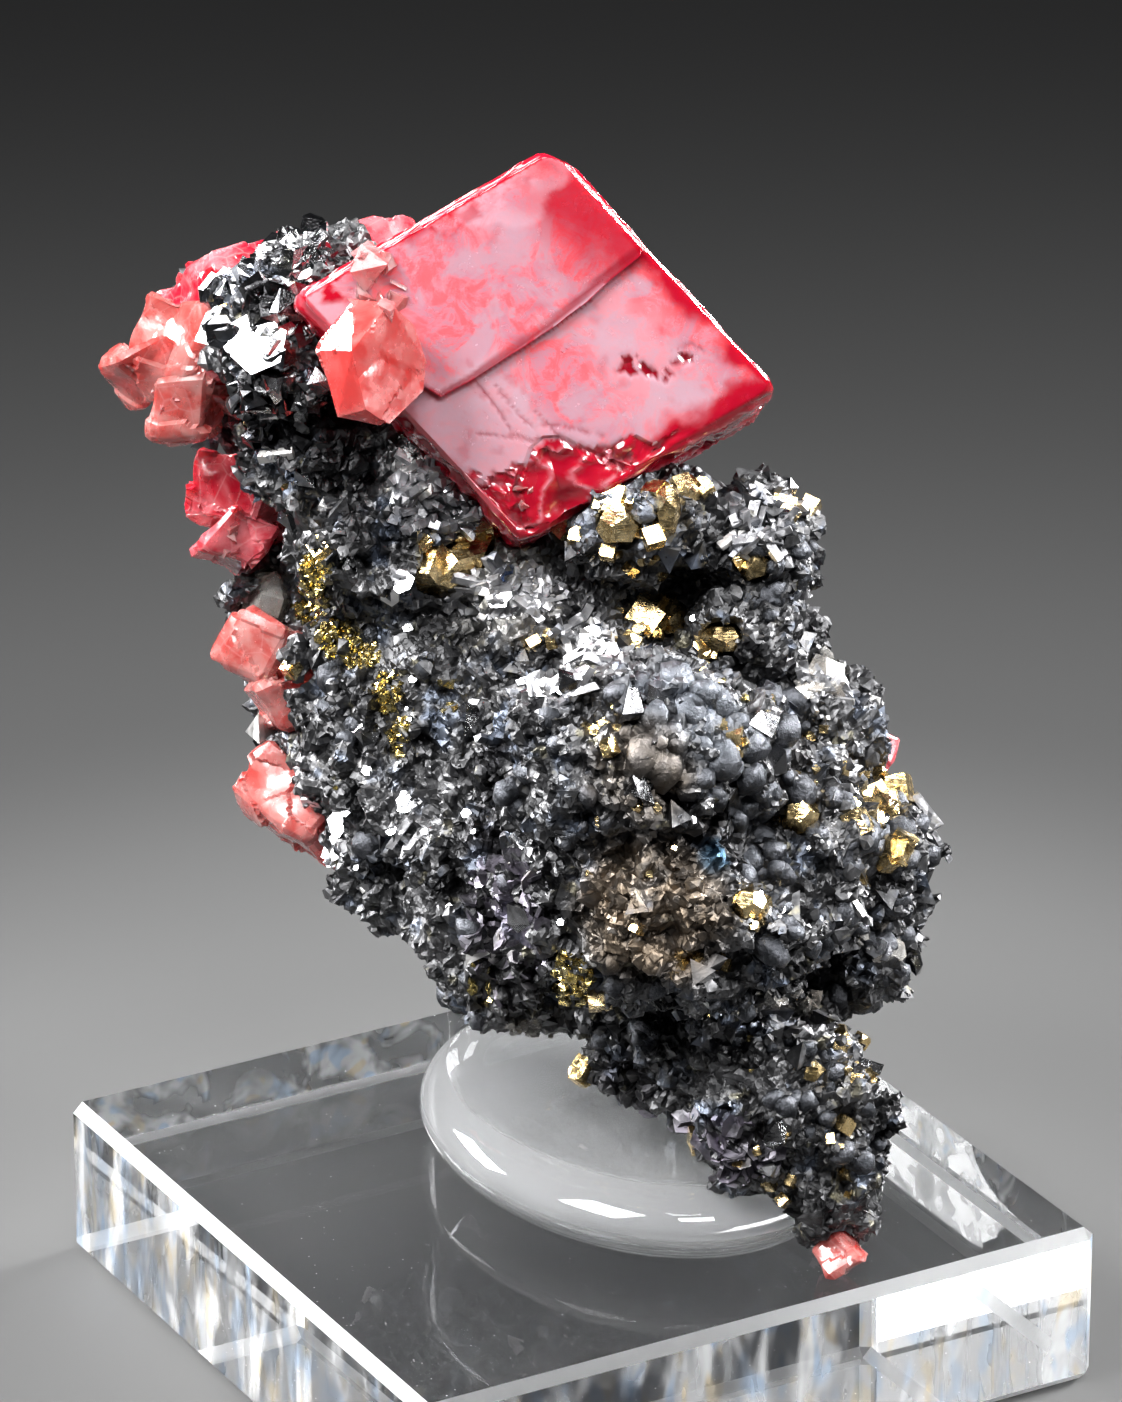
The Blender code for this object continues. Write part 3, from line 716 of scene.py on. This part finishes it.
def detailed_matrix(crystal_tree):
    """The CAD matrix as a fine mesh whose surface is broken into small crystal faces."""
    source = nodes["tetrahedrite_matrix"]
    rough = add_object("rough matrix", source.data.copy())
    remesh = rough.modifiers.new("fine", "REMESH")
    remesh.mode = "VOXEL"
    remesh.voxel_size = MATRIX_VOXEL * MM
    graph = bpy.context.evaluated_depsgraph_get()
    mesh = bpy.data.meshes.new_from_object(rough.evaluated_get(graph))
    bpy.data.objects.remove(rough)
    moves = []
    for vert in mesh.vertices:
        near = crystal_tree.find_nearest(vert.co, CRYSTAL_CLEARANCE * MM)[0]
        height = 0.0
        if not near:
            height = sum(face_height(vert.co, *faces) for faces in MATRIX_FACES)
        moves.append(vert.normal * height)
    move_verts(mesh.vertices, moves)
    mesh.polygons.foreach_set("use_smooth", [False] * len(mesh.polygons))
    mesh.update()
    return mesh


def fine_mesh(node_name, longest):
    """A copy of a CAD node's mesh, split until no edge is longer than this many millimetres."""
    shape = bmesh.new()
    shape.from_mesh(nodes[node_name].data)
    bmesh.ops.remove_doubles(shape, verts=shape.verts, dist=1e-6)
    bmesh.ops.triangulate(shape, faces=shape.faces)
    for _ in range(12):
        long = [edge for edge in shape.edges if edge.calc_length() > longest * MM]
        if not long:
            break
        bmesh.ops.subdivide_edges(shape, edges=long, cuts=1)
        bmesh.ops.triangulate(shape, faces=shape.faces)
    shape.normal_update()
    return shape


def mesh_of(shape, name):
    mesh = bpy.data.meshes.new(name)
    shape.to_mesh(mesh)
    shape.free()
    return mesh


def finish_mesh(shape, name, sharp=28.0):
    """The mesh of a bmesh, smooth but for its edges that turn by more than an angle."""
    shape.normal_update()
    for face in shape.faces:
        face.smooth = True
    limit = math.radians(sharp)
    for edge in shape.edges:
        edge.smooth = len(edge.link_faces) == 2 and edge.calc_face_angle(0) < limit
    return mesh_of(shape, name)


def move_verts(verts, moves):
    for vert, move in zip(verts, moves):
        vert.co += move


def ramp(value, low, high):
    """0 to 1 as the value goes from low to high, smoothly."""
    share = min(max((value - low) / (high - low), 0.0), 1.0)
    return share * share * (3 - 2 * share)


def line_distance(point, line):
    """How far a point is from a polyline, all in two dimensions."""
    best = math.inf
    for start, end in zip(line, line[1:]):
        start, end = Vector(start), Vector(end)
        along = end - start
        share = min(max((point - start).dot(along) / along.length_squared, 0.0), 1.0)
        best = min(best, (point - start - along * share).length)
    return best


def main_frame():
    """The main crystal's blunt corner, what turns offsets into edge shares, and its front normal."""
    half = FACE_ANGLE / 2
    drop = math.cos(FACE_ANGLE) / math.cos(half)
    units = (
        Vector((-math.sin(half), math.cos(half), 0)),
        Vector((math.sin(half), math.cos(half), 0)),
        Vector((0, drop, -math.sqrt(1 - drop * drop))),
    )
    turn = turned(*MAIN_TURN)
    left, right, back = [turn @ unit * length * MM for unit, length in zip(units, MAIN_LENGTHS)]
    corner = place(*MAIN_CENTRE) - (left + right + back) / 2
    inverse = Matrix((left, right, back)).transposed().inverted()
    return corner, inverse, right.cross(left).normalized()


def on_face(column, row):
    """Where a pixel lies on the main crystal's front face, in millimetres up left and up right."""
    corner, inverse, outward = main_frame()
    direction = sight(column, row)
    reach = (corner - CAMERA_PLACE).dot(outward) / direction.dot(outward)
    shares = inverse @ (CAMERA_PLACE + direction * reach - corner)
    return Vector((shares.x * MAIN_LENGTHS[0], shares.y * MAIN_LENGTHS[1]))


def front_marks():
    """The marks of the main crystal's front face, in millimetres on that face."""
    return {
        "cracks": [[on_face(*pixel) for pixel in crack] for crack in MAIN_CRACKS],
        "pits": [(on_face(*pixel), size) for pixel, size in MAIN_PITS],
        "veils": [(on_face(*pixel), size) for pixel, size in MAIN_VEILS],
        "step": [on_face(*pixel) for pixel in MAIN_STEP],
        "tip": [on_face(*pixel) for pixel in MAIN_TIP],
    }


def front_look(point, shares, height, marks):
    """The masks of the front face at a point, and its height in millimetres."""
    spot = Vector((shares.x * MAIN_LENGTHS[0], shares.y * MAIN_LENGTHS[1]))
    rough = noise.fractal(point / (ROUGH_SIZE * MM), 1.0, 2.0, 4)
    fine = noise.noise(point / (FINE_SIZE * MM))
    wander = noise.noise(point / (WANDER_SIZE * MM)) * 0.07 + rough * 0.035
    up_left, up_right = shares.x + wander, shares.y + wander
    upper = ramp(shares.x, 0.52, 0.56)
    red = max(
        ramp(up_right, 0.9, 0.99),
        ramp(up_left, 0.1, 0.02),
        0.9 * upper * ramp(up_right, 0.66, 0.92) * ramp(shares.x, 0.98, 0.86),
        upper * ramp(up_left, 0.9, 0.97) * ramp(rough, 0.0, 0.3),
        0.3 * ramp(rough, 0.3, 0.8),
    )
    grey = 0.75 * max(ramp(up_right, 0.26, 0.06), (1 - upper) * ramp(up_right, 0.44, 0.3))
    grey = max(grey, 0.6 * (1 - upper) * ramp(abs(up_right - 0.72), 0.2, 0.05))
    tip = marks["tip"][1] - marks["tip"][0]
    below = (spot - marks["tip"][0]).cross(tip) / tip.length
    broken = ramp(below + rough * 1.6 + fine * 0.3, 0.2, -0.5)
    red = max(red, broken)
    grey *= 1 - broken
    dark = broken * ramp(rough, -0.2, 0.5) * 0.7
    milk_and_painted_light = broken * 0.35 * ramp(fine + rough, 0.25, 0.7)
    height -= broken * (0.35 + rough * 0.5 + fine * 0.12)
    for centre, size in marks["pits"]:
        inside = ramp((spot - centre).length + rough * 0.9 + fine * 0.4, size, size * 0.6)
        dark = max(dark, inside)
        height -= inside * PIT_DEPTH
    for centre, size in marks["veils"]:
        reach = (spot - centre).length + rough * 0.3
        milk_and_painted_light = max(milk_and_painted_light, 0.35 * ramp(reach, size, size * 0.8) * ramp(reach, -1, size))
    for crack in marks["cracks"]:
        near = line_distance(spot, crack) + fine * 0.03
        dark = max(dark, 0.5 * ramp(near, 0.16, 0.04))
        height -= ramp(near, 0.2, 0.05) * CRACK_DEPTH
    dark = max(dark, 0.75 * ramp(line_distance(spot, marks["step"]), 0.42, 0.12))
    width, length, _ = MAIN_LENGTHS
    rim = min(shares.x * width, (1 - shares.y) * length, (1 - shares.x) * width)
    height -= ramp(rim, 0.9, 0.2) * ramp(rough, 0.05, 0.35) * CHIP_DEPTH
    return (red, grey, milk_and_painted_light, dark), height


def side_look(point, shares, height, facing):
    """The masks of the other faces at a point, and the height there in millimetres."""
    rough = noise.fractal(point / (ROUGH_SIZE * MM), 1.0, 2.0, 4)
    milk_and_painted_light = 0.0
    dark = 0.1 + 0.3 * rough
    if shares.x < 0.1:
        dark += 0.5
    elif shares.y < 0.1:
        # Painted light: the lower-left side face, which the key light only grazes, loses its dark and gets
        # a pale milky colour to look lit
        dark = 0.0
        milk_and_painted_light = 0.16
    height += rough * 0.05
    if 0.3 < shares.z * MAIN_LENGTHS[2] and facing > 0.1:
        ridge = 1 - abs(noise.noise(point / (RIDGE_SIZE * MM))) * 2.4
        height += ridge * RIDGE_HEIGHT + noise.noise(point / (FINE_SIZE * MM)) * 0.06
        dark = 0.25 - ridge * 0.3
        milk_and_painted_light = 0.4 * ramp(ridge, 0.75, 1.0)
    return (1.0, 0.0, milk_and_painted_light, dark), height


def main_piece():
    """The main crystal with its cracks, pits, chipped rims and broken lower end."""
    shape = fine_mesh("rhodochrosite_main", MAIN_GRID)
    corner, inverse, outward = main_frame()
    marks = front_marks()
    layers = [shape.verts.layers.float.new(name) for name in MAIN_MASKS]
    moves = []
    for vert in shape.verts:
        point = vert.co
        shares = inverse @ (point - corner)
        facing = vert.normal.dot(outward)
        height = noise.noise(point / (5 * MM)) * 0.05 + noise.noise(point / (1.8 * MM)) * 0.02
        if facing > 0.8 and shares.z * MAIN_LENGTHS[2] < FRONT_DEPTH:
            masks, height = front_look(point, shares, height, marks)
        else:
            masks, height = side_look(point, shares, height, facing)
        for layer, value in zip(layers, masks):
            vert[layer] = min(max(value, 0.0), 1.0)
        moves.append(vert.normal * height * MM)
    move_verts(shape.verts, moves)
    rims = []
    for vert in shape.verts:
        near = [abs(share - 0.5) > 0.46 for share in inverse @ (vert.co - corner)]
        if sum(near) > 1:
            rims.append(vert)
    for _ in range(RIM_SMOOTHING):
        bmesh.ops.smooth_vert(
            shape, verts=rims, factor=0.5, use_axis_x=True, use_axis_y=True, use_axis_z=True
        )
    return finish_mesh(shape, "main_crystal")


def weathered(node_name, swell, facet):
    """The mesh of a smaller crystal with lobes, broken faces and rounded rims."""
    shape = fine_mesh(node_name, CRYSTAL_GRID)
    moves = []
    for vert in shape.verts:
        lobe = noise.noise(vert.co / (3.4 * MM)) * swell
        broken = face_height(vert.co, *facet) / MM
        moves.append(vert.normal * (lobe + broken) * MM)
    move_verts(shape.verts, moves)
    return finish_mesh(shape, node_name.replace("rhodochrosite", "crystal"), 24.0)


def hull(points):
    """The convex solid around some points, as vertex and triangle arrays."""
    shape = bmesh.new()
    verts = [shape.verts.new(Vector(point)) for point in points]
    found = bmesh.ops.convex_hull(shape, input=verts)
    inside = [v for v in found["geom_interior"] if isinstance(v, bmesh.types.BMVert)]
    bmesh.ops.delete(shape, geom=inside, context="VERTS")
    bmesh.ops.recalc_face_normals(shape, faces=shape.faces)
    shape.verts.index_update()
    corners = np.array([v.co for v in shape.verts])
    triangles = np.array([[v.index for v in face.verts] for face in shape.faces])
    shape.free()
    return corners, triangles


def several(rng, shape, count, *options):
    """Some solids of one kind, each with its own random points."""
    return [hull(shape(rng, *options)) for _ in range(count)]


def tetrahedron(rng):
    """A sharp tetrahedron whose edges have further points along them."""
    tips = np.array(((1, 1, 1), (1, -1, -1), (-1, 1, -1), (-1, -1, 1)), float)
    points = []
    for tip in tips:
        along = rng.uniform(0.08, 0.34)
        points += [tip + (other - tip) * along for other in tips]
    return np.array(points) * TETRAHEDRON_REACH


def shard(rng, corners=9):
    """A broken angular bit."""
    points = rng.normal(size=(corners, 3))
    return points / np.linalg.norm(points, axis=1)[:, None] * SHARD_REACH


def knob(rng, corners=32):
    """A rounded lump, its corners spread evenly and then shaken."""
    order = np.arange(corners) + 0.5
    tilt = np.arccos(1 - 2 * order / corners)
    around = math.pi * (1 + math.sqrt(5)) * order
    even = np.stack([np.cos(around) * np.sin(tilt), np.sin(around) * np.sin(tilt), np.cos(tilt)], 1)
    points = even * (1 + rng.normal(size=(corners, 1)) * 0.15)
    return points * rng.uniform(0.7, 1.0, 3) * LUMP_REACH


def block(rng):
    """A cube with uneven sides and some corners cut."""
    points = []
    for corner in np.array(np.meshgrid((-1, 1), (-1, 1), (-1, 1))).T.reshape(-1, 3).astype(float):
        if rng.random() < 0.3:
            cut = rng.uniform(0.25, 0.7)
            for axis in range(3):
                moved = corner.copy()
                moved[axis] *= 1 - cut
                points.append(moved)
        else:
            points.append(corner)
    return np.array(points) * rng.uniform(0.6, 1.0, 3) * LUMP_REACH


def plate(rng):
    """A thin six-sided tablet."""
    angles = np.arange(6) * math.tau / 6
    reach = rng.uniform(0.7, 1.0, 6)
    rim = np.stack([np.cos(angles) * reach, np.sin(angles) * reach, np.full(6, 0.14)], 1)
    return np.concatenate([rim, rim * np.array((0.85, 0.85, -1))]) * PLATE_REACH


def blade(rng):
    """A long, narrow crystal with slanting ends."""
    return [
        (x * rng.uniform(0.8, 1.0), y * rng.uniform(0.16, 0.26), z * rng.uniform(0.12, 0.2))
        for x in (-1, 1)
        for y in (-1, 1)
        for z in (-1, 1)
    ]


def random_turns(rng, normals):
    """Any rotations, one for each normal."""
    quaternions = rng.normal(size=(len(normals), 4))
    w, x, y, z = (quaternions / np.linalg.norm(quaternions, axis=1)[:, None]).T
    rows = (
        (1 - 2 * (y * y + z * z), 2 * (x * y - w * z), 2 * (x * z + w * y)),
        (2 * (x * y + w * z), 1 - 2 * (x * x + z * z), 2 * (y * z - w * x)),
        (2 * (x * z - w * y), 2 * (y * z + w * x), 1 - 2 * (x * x + y * y)),
    )
    return np.moveaxis(np.array(rows), 2, 0)


def lying_turns(rng, normals, lean):
    """Rotations that lay a shape's Z along each normal, with a random spin and some lean."""
    leaning = normals + rng.normal(size=normals.shape) * lean
    leaning /= np.linalg.norm(leaning, axis=1)[:, None]
    side = rng.normal(size=normals.shape)
    side -= leaning * (side * leaning).sum(1)[:, None]
    side /= np.linalg.norm(side, axis=1)[:, None]
    return np.stack([side, np.cross(leaning, side), leaning], 2)


def glinting_turns(rng, normals, lean):
    """Rotations whose Z faces halfway between the camera and the key light, so that it shines back."""
    halfway = (TOWARD + light_direction(*KEY_PLACE)).normalized()
    return lying_turns(rng, np.tile(np.array(halfway), (len(normals), 1)), lean)


def grown(templates, spots, turns, sizes, rng):
    """One mesh's vertices and triangles: a shape at every spot, in metres."""
    verts, faces, first = [], [], 0
    kinds = rng.integers(0, len(templates), len(spots))
    for kind, (corners, triangles) in enumerate(templates):
        chosen = kinds == kind
        if not chosen.any():
            continue
        shape = corners[None] * sizes[chosen][:, None, None] * MM
        moved = np.einsum("nij,nvj->nvi", turns[chosen], shape) + spots[chosen][:, None]
        count = int(chosen.sum())
        offsets = first + np.arange(count) * len(corners)
        verts.append(moved.reshape(-1, 3))
        faces.append((triangles[None] + offsets[:, None, None]).reshape(-1, 3))
        first += count * len(corners)
    return np.concatenate(verts), np.concatenate(faces)


def mesh_of_arrays(name, verts, triangles, smooth=False):
    mesh = bpy.data.meshes.new(name)
    mesh.vertices.add(len(verts))
    mesh.vertices.foreach_set("co", verts.astype(np.float32).ravel())
    mesh.loops.add(triangles.size)
    mesh.loops.foreach_set("vertex_index", triangles.astype(np.int32).ravel())
    mesh.polygons.add(len(triangles))
    mesh.polygons.foreach_set("loop_start", np.arange(len(triangles), dtype=np.int32) * 3)
    mesh.update(calc_edges=True)
    mesh.validate()
    mesh.polygons.foreach_set("use_smooth", [smooth] * len(mesh.polygons))
    return mesh


def spots_by_area(mesh, rng, count):
    """Random places all over a mesh, with the normals there."""
    mesh.calc_loop_triangles()
    verts = np.zeros(len(mesh.vertices) * 3)
    mesh.vertices.foreach_get("co", verts)
    corners = np.zeros(len(mesh.loop_triangles) * 3, np.int32)
    mesh.loop_triangles.foreach_get("vertices", corners)
    a, b, c = verts.reshape(-1, 3)[corners.reshape(-1, 3)].transpose(1, 0, 2)
    cross = np.cross(b - a, c - a)
    area = np.linalg.norm(cross, axis=1)
    chosen = rng.choice(len(area), count, p=area / area.sum())
    u, v = rng.random((2, count, 1))
    flip = u + v > 1
    u, v = np.where(flip, 1 - u, u), np.where(flip, 1 - v, v)
    spots = a[chosen] + u * (b - a)[chosen] + v * (c - a)[chosen]
    return spots, cross[chosen] / area[chosen][:, None]


def spots_in_patches(tree, patches, rng):
    """Places on the display side that the camera sees within some patches, with normals and sizes."""
    spots, normals, sizes = [], [], []
    for column, row, wide, high, count, least, largest in patches:
        for _ in range(count):
            angle, reach = rng.uniform(0, math.tau), math.sqrt(rng.random())
            across, down = wide * reach * math.cos(angle), high * reach * math.sin(angle)
            found = surface_spot(tree, column + across, row + down)
            if found:
                spots.append(found[0])
                normals.append(found[1])
                sizes.append(rng.uniform(least, largest))
    return np.array(spots), np.array(normals), np.array(sizes)


def far_clusters(mesh, rng, count, limit, size):
    """Places in clusters on the back and the sides, but not underneath, with normals and sizes."""
    spots, normals = spots_by_area(mesh, rng, count)
    away = (normals @ np.array(TOWARD) < 0.15) & (normals[:, 2] > -0.35)
    shift = Vector(rng.random(3) * 40)
    high = [noise.noise(Vector(spot) / (CLUSTER_SIZE * MM) + shift) > limit for spot in spots]
    kept = away & np.array(high)
    return spots[kept], normals[kept], rng.uniform(*size, int(kept.sum()))


def hides(spots, sizes):
    """Which spots would stand in the camera's way to a crystal that shows past the matrix's rim."""
    hidden = np.zeros(len(spots), bool)
    for (column, row), reach, largest in OPEN_VIEWS:
        toward = np.array(sight(column, row))
        offset = spots - np.array(CAMERA_PLACE)
        along = offset @ toward
        aside = np.linalg.norm(offset - along[:, None] * toward, axis=1)
        hidden |= (aside < reach * MM) & (sizes > largest)
    return hidden


def clear_of(tree, spots, sizes, share=0.55):
    """Which spots have no other crystal within that share of their own size."""
    return np.array(
        [
            tree.find_nearest(Vector(spot), size * share * MM)[0] is None
            for spot, size in zip(spots, sizes)
        ]
    )


def matrix_pieces(crystal_tree):
    """The matrix with everything small that grows on it."""
    rng = np.random.default_rng(SEED)
    mesh = detailed_matrix(crystal_tree)
    tree = tree_of(mesh)
    zones = []
    # The tints and the spots of painted shade, set where the camera sees the matrix; the darkest, painted
    # shade, are mixed in last
    for pixel, radius, tint, strength in TINTS_AND_PAINTED_SHADE:
        found = surface_spot(tree, *pixel)
        if found:
            zones.append((found[0], radius, tint, strength))
    zones.sort(key=lambda zone: -sum(zone[2]))
    body = tetrahedrite_finish("tetrahedrite", zones, 0.42, 0.7, 0.014, 0.13)
    crystal = tetrahedrite_finish("tetrahedrite crystals", zones, 0.9, 0.3, 0.024, 0.14, 0.02)
    matrix = new_piece("matrix", mesh, body)
    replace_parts(matrix, "tetrahedrite_matrix")

    def grow(name, templates, spots, normals, sizes, kept, sink, turns, finish):
        """One piece of small crystals at the kept places, sunk by a share of their sizes."""
        spots, normals, sizes = spots[kept], normals[kept], sizes[kept]
        spots = spots - normals * (sizes * sink * MM)[:, None]
        turned_by, *lean = turns
        verts, faces = grown(templates, spots, turned_by(rng, normals, *lean), sizes, rng)
        new_piece(name, mesh_of_arrays(name, verts, faces, finish == gunmetal), finish)

    def spread(name, kinds, count, least, largest, sink):
        """Small crystals all over the matrix."""
        templates = several(rng, *kinds)
        spots, normals = spots_by_area(mesh, rng, count)
        sizes = least + (largest - least) * rng.random(count) ** SIZE_POWER
        kept = clear_of(crystal_tree, spots, sizes) & ~hides(spots, sizes)
        turns = (random_turns,)
        grow(name, templates, spots, normals, sizes, kept, sink, turns, crystal)

    def patches(
        name, kinds, chosen, finish, slot="tetrahedrite", turns=(random_turns,), sink=0.1, on=None
    ):
        """Crystals of one kind in their patches and, on the far side, in clusters."""
        templates = several(rng, *kinds)
        spots, normals, sizes = spots_in_patches(on or tree, chosen, rng)
        if name in FAR_CLUSTERS:
            found = far_clusters(mesh, rng, *FAR_CLUSTERS[name])
            spots, normals, sizes = (
                np.concatenate(pair) for pair in zip((spots, normals, sizes), found)
            )
        clearance = 0 if name in TOUCHING else PATCH_CLEARANCE
        kept = clear_of(crystal_tree, spots, sizes, clearance)
        if not on:
            kept &= ~hides(spots, sizes)
        grow(name, templates, spots, normals, sizes, kept, sink, turns, finish)

    gunmetal = knob_finish(zones)
    spread("tetrahedrite_crystals", (tetrahedron, 8), TETRAHEDRON_COUNT, 0.6, 1.5, 0.42)
    spread("tetrahedrite_shards", (shard, 12, 13), SHARD_COUNT, 0.5, 1.4, 0.4)
    spread("tetrahedrite_specks", (shard, 8, 7), SPECK_COUNT, 0.25, 0.65, 0.12)

    brass = brass_finish("pyrite", (0.96, 0.73, 0.36), (0.6, 0.42, 0.17), 1.1)
    yellow = brass_finish("chalcopyrite", (0.62, 0.47, 0.14), (0.26, 0.21, 0.07), 0.3)
    silver = tetrahedrite_finish("silver faces", [], 0.6, 0.3, 0.2, 0.5)
    pale = tetrahedrite_finish("pale plates", [], 0.8, 0.15, 0.6, 0.85)
    black = tetrahedrite_finish("black faces", [], 2.2, 0.08, 0.03, 0.34, 0.05, (0.08, 0.24))
    mirror = tetrahedrite_finish("mirror faces", [], 3.0, 0.05, 0.5, 0.8, gloss=(0.18, 0.4))
    purple = tetrahedrite_finish("purple plates", PURPLE_TINT, 0.7, 0.3, 0.05, 0.2)
    pink = ((0.58, 0.14, 0.14), (0.66, 0.36, 0.36))
    glassy = rhodochrosite_finish("glassy crystal", *pink, 1.6, 0.6, 40.0)
    clear = quartz_finish()

    patches("tetrahedrite_knobs", (knob, 12), KNOB_PATCHES, gunmetal, sink=0.42)
    patches("pyrite_grains", (block, 8), PYRITE_PATCHES, brass, "pyrite", (glinting_turns, 0.3))
    glint = (glinting_turns, 0.07)
    patches("mirror_faces", (plate, 5), MIRROR_PATCHES, mirror, turns=glint, sink=-0.1)
    patches("chalcopyrite_crust", (shard, 6), CHALCOPYRITE_PATCHES, yellow, "pyrite")
    patches("silver_blades", (blade, 6), SILVER_PATCHES, silver, turns=(lying_turns, 0.5))
    patches("pale_plates", (plate, 4), PALE_PLATE_PATCHES, pale, turns=(lying_turns, 0.3))
    patches("black_crystals", (shard, 8, 11), BLACK_LUMP_PATCHES, black, sink=0.3)
    patches("purple_plates", (plate, 5), PURPLE_PATCHES, purple, turns=(lying_turns, 0.35))
    patches("quartz_grains", (shard, 6), QUARTZ_PATCHES, clear, "quartz")
    on_crystals = {"slot": "rhodochrosite", "sink": 0.25, "on": crystal_tree}
    patches("glassy_crystals", (shard, 8, 8), GLASSY_PATCHES, glassy, **on_crystals)
    return brass, clear


def cushion_piece(finish):
    """The cushion's pebble with a fine, smooth skin."""
    shape = bmesh.new()
    half = CUSHION_THICKNESS / 2
    rings = []
    for step in range(CUSHION_STEPS + 1):
        angle = math.pi * (step / CUSHION_STEPS - 0.5)
        inset = CUSHION_EDGE * (1 - math.cos(angle))
        height = CUSHION_FLOOR + half * (1 + math.sin(angle))
        ring = []
        for side in range(CUSHION_SIDES):
            around = math.tau * side / CUSHION_SIDES
            x = CUSHION_CENTRE[0] + (CUSHION_HALF_WIDTH - inset) * math.cos(around)
            y = CUSHION_CENTRE[1] + (CUSHION_HALF_LENGTH - inset) * math.sin(around)
            ring.append(shape.verts.new(Vector((x, y, height)) * MM))
        rings.append(ring)
    for lower, upper in zip(rings, rings[1:]):
        for side in range(CUSHION_SIDES):
            after = (side + 1) % CUSHION_SIDES
            shape.faces.new((lower[side], lower[after], upper[after], upper[side]))
    shape.faces.new(rings[0][::-1])
    shape.faces.new(rings[-1])
    bmesh.ops.recalc_face_normals(shape, faces=shape.faces)
    for face in shape.faces:
        face.smooth = True
    piece = new_piece("cushion", mesh_of(shape, "cushion"), finish)
    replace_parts(piece, "acrylic_cushion")


def paint(node_name, finish):
    mesh = nodes[node_name].data
    if not mesh.materials:
        mesh.materials.append(finish)
    for index in range(len(mesh.materials)):
        mesh.materials[index] = finish


def light_direction(turn, tilt):
    """The direction to a place at degrees right of the camera and up."""
    around, level = CAMERA_TURN + math.radians(turn), math.radians(tilt)
    return Vector(
        (math.sin(around) * math.cos(level), -math.cos(around) * math.cos(level), math.sin(level))
    )


def add_softbox(name, turn, tilt, distance, size, power, spread):
    """An area light that faces the specimen from this far, at degrees right of the camera and up."""
    light = bpy.data.lights.new(name, "AREA")
    light.shape = "RECTANGLE"
    light.size, light.size_y = size[0] * MM, size[1] * MM
    light.energy = power
    light.spread = math.radians(spread)
    obj = add_object(name, light)
    away = light_direction(turn, tilt)
    target = Vector(LIGHT_TARGET) * MM
    obj.location = target + away * distance * MM
    obj.rotation_euler = (-away).to_track_quat("-Z", "Y").to_euler()


def add_studio():
    floor = bmesh.new()
    bmesh.ops.create_circle(floor, cap_ends=True, segments=96, radius=FLOOR_RADIUS * MM)
    mesh = mesh_of(floor, "floor")
    mesh.materials.append(floor_finish())
    obj = add_object("floor", mesh)
    obj.location.z = FLOOR_LEVEL * MM
    for name, values in SOFTBOXES.items():
        add_softbox(name, *values)
    world = bpy.data.worlds.new("studio")
    scene.world = world
    world.use_nodes = True
    shade = world.node_tree.nodes["Background"]
    shade.inputs["Color"].default_value = AMBIENT
    shade.inputs["Strength"].default_value = AMBIENT_STRENGTH


add_camera()
corners, polygons = [], []
for name in nodes:
    if name.startswith(("rhodochrosite", "pyrite", "quartz")):
        mesh = nodes[name].data
        mesh.calc_loop_triangles()
        first = len(corners)
        corners += [v.co.copy() for v in mesh.vertices]
        polygons += [tuple(first + i for i in t.vertices) for t in mesh.loop_triangles]
crystal_tree = BVHTree.FromPolygons(corners, polygons)

brass, clear = matrix_pieces(crystal_tree)
acrylic = acrylic_finish("slab acrylic", True)
cushion_piece(acrylic_finish("cushion acrylic", False))
paint("acrylic_slab", acrylic)
coral = rhodochrosite_finish("coral crystal", (0.48, 0.07, 0.06), (0.58, 0.25, 0.23), clear=0.45)
gem = rhodochrosite_finish("gem", (0.60, 0.06, 0.055), (0.66, 0.17, 0.16), 3.0, 0.55, 60.0, 0.0)
ruby = rhodochrosite_finish("ruby crystal", (0.42, 0.006, 0.022), (0.62, 0.16, 0.18), 3.0, 0.3)
for place_name, finish in (
    ("rear", ruby),
    ("left_cluster", coral),
    ("left_upper", ruby),
    ("left_middle", coral),
    ("left_lower", coral),
    ("back_right", ruby),
    ("foot", coral),
    ("small_gem", gem),
):
    name = "rhodochrosite_" + place_name
    mesh = weathered(name, *(GEM_RELIEF if finish == gem else CRYSTAL_RELIEF))
    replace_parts(new_piece(mesh.name, mesh, finish), name)
main = new_piece("main_crystal", main_piece(), main_finish())
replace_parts(main, "rhodochrosite_main")
for name in nodes:
    if name.startswith("pyrite"):
        paint(name, brass)
    if name.startswith("quartz"):
        paint(name, clear)
add_studio()
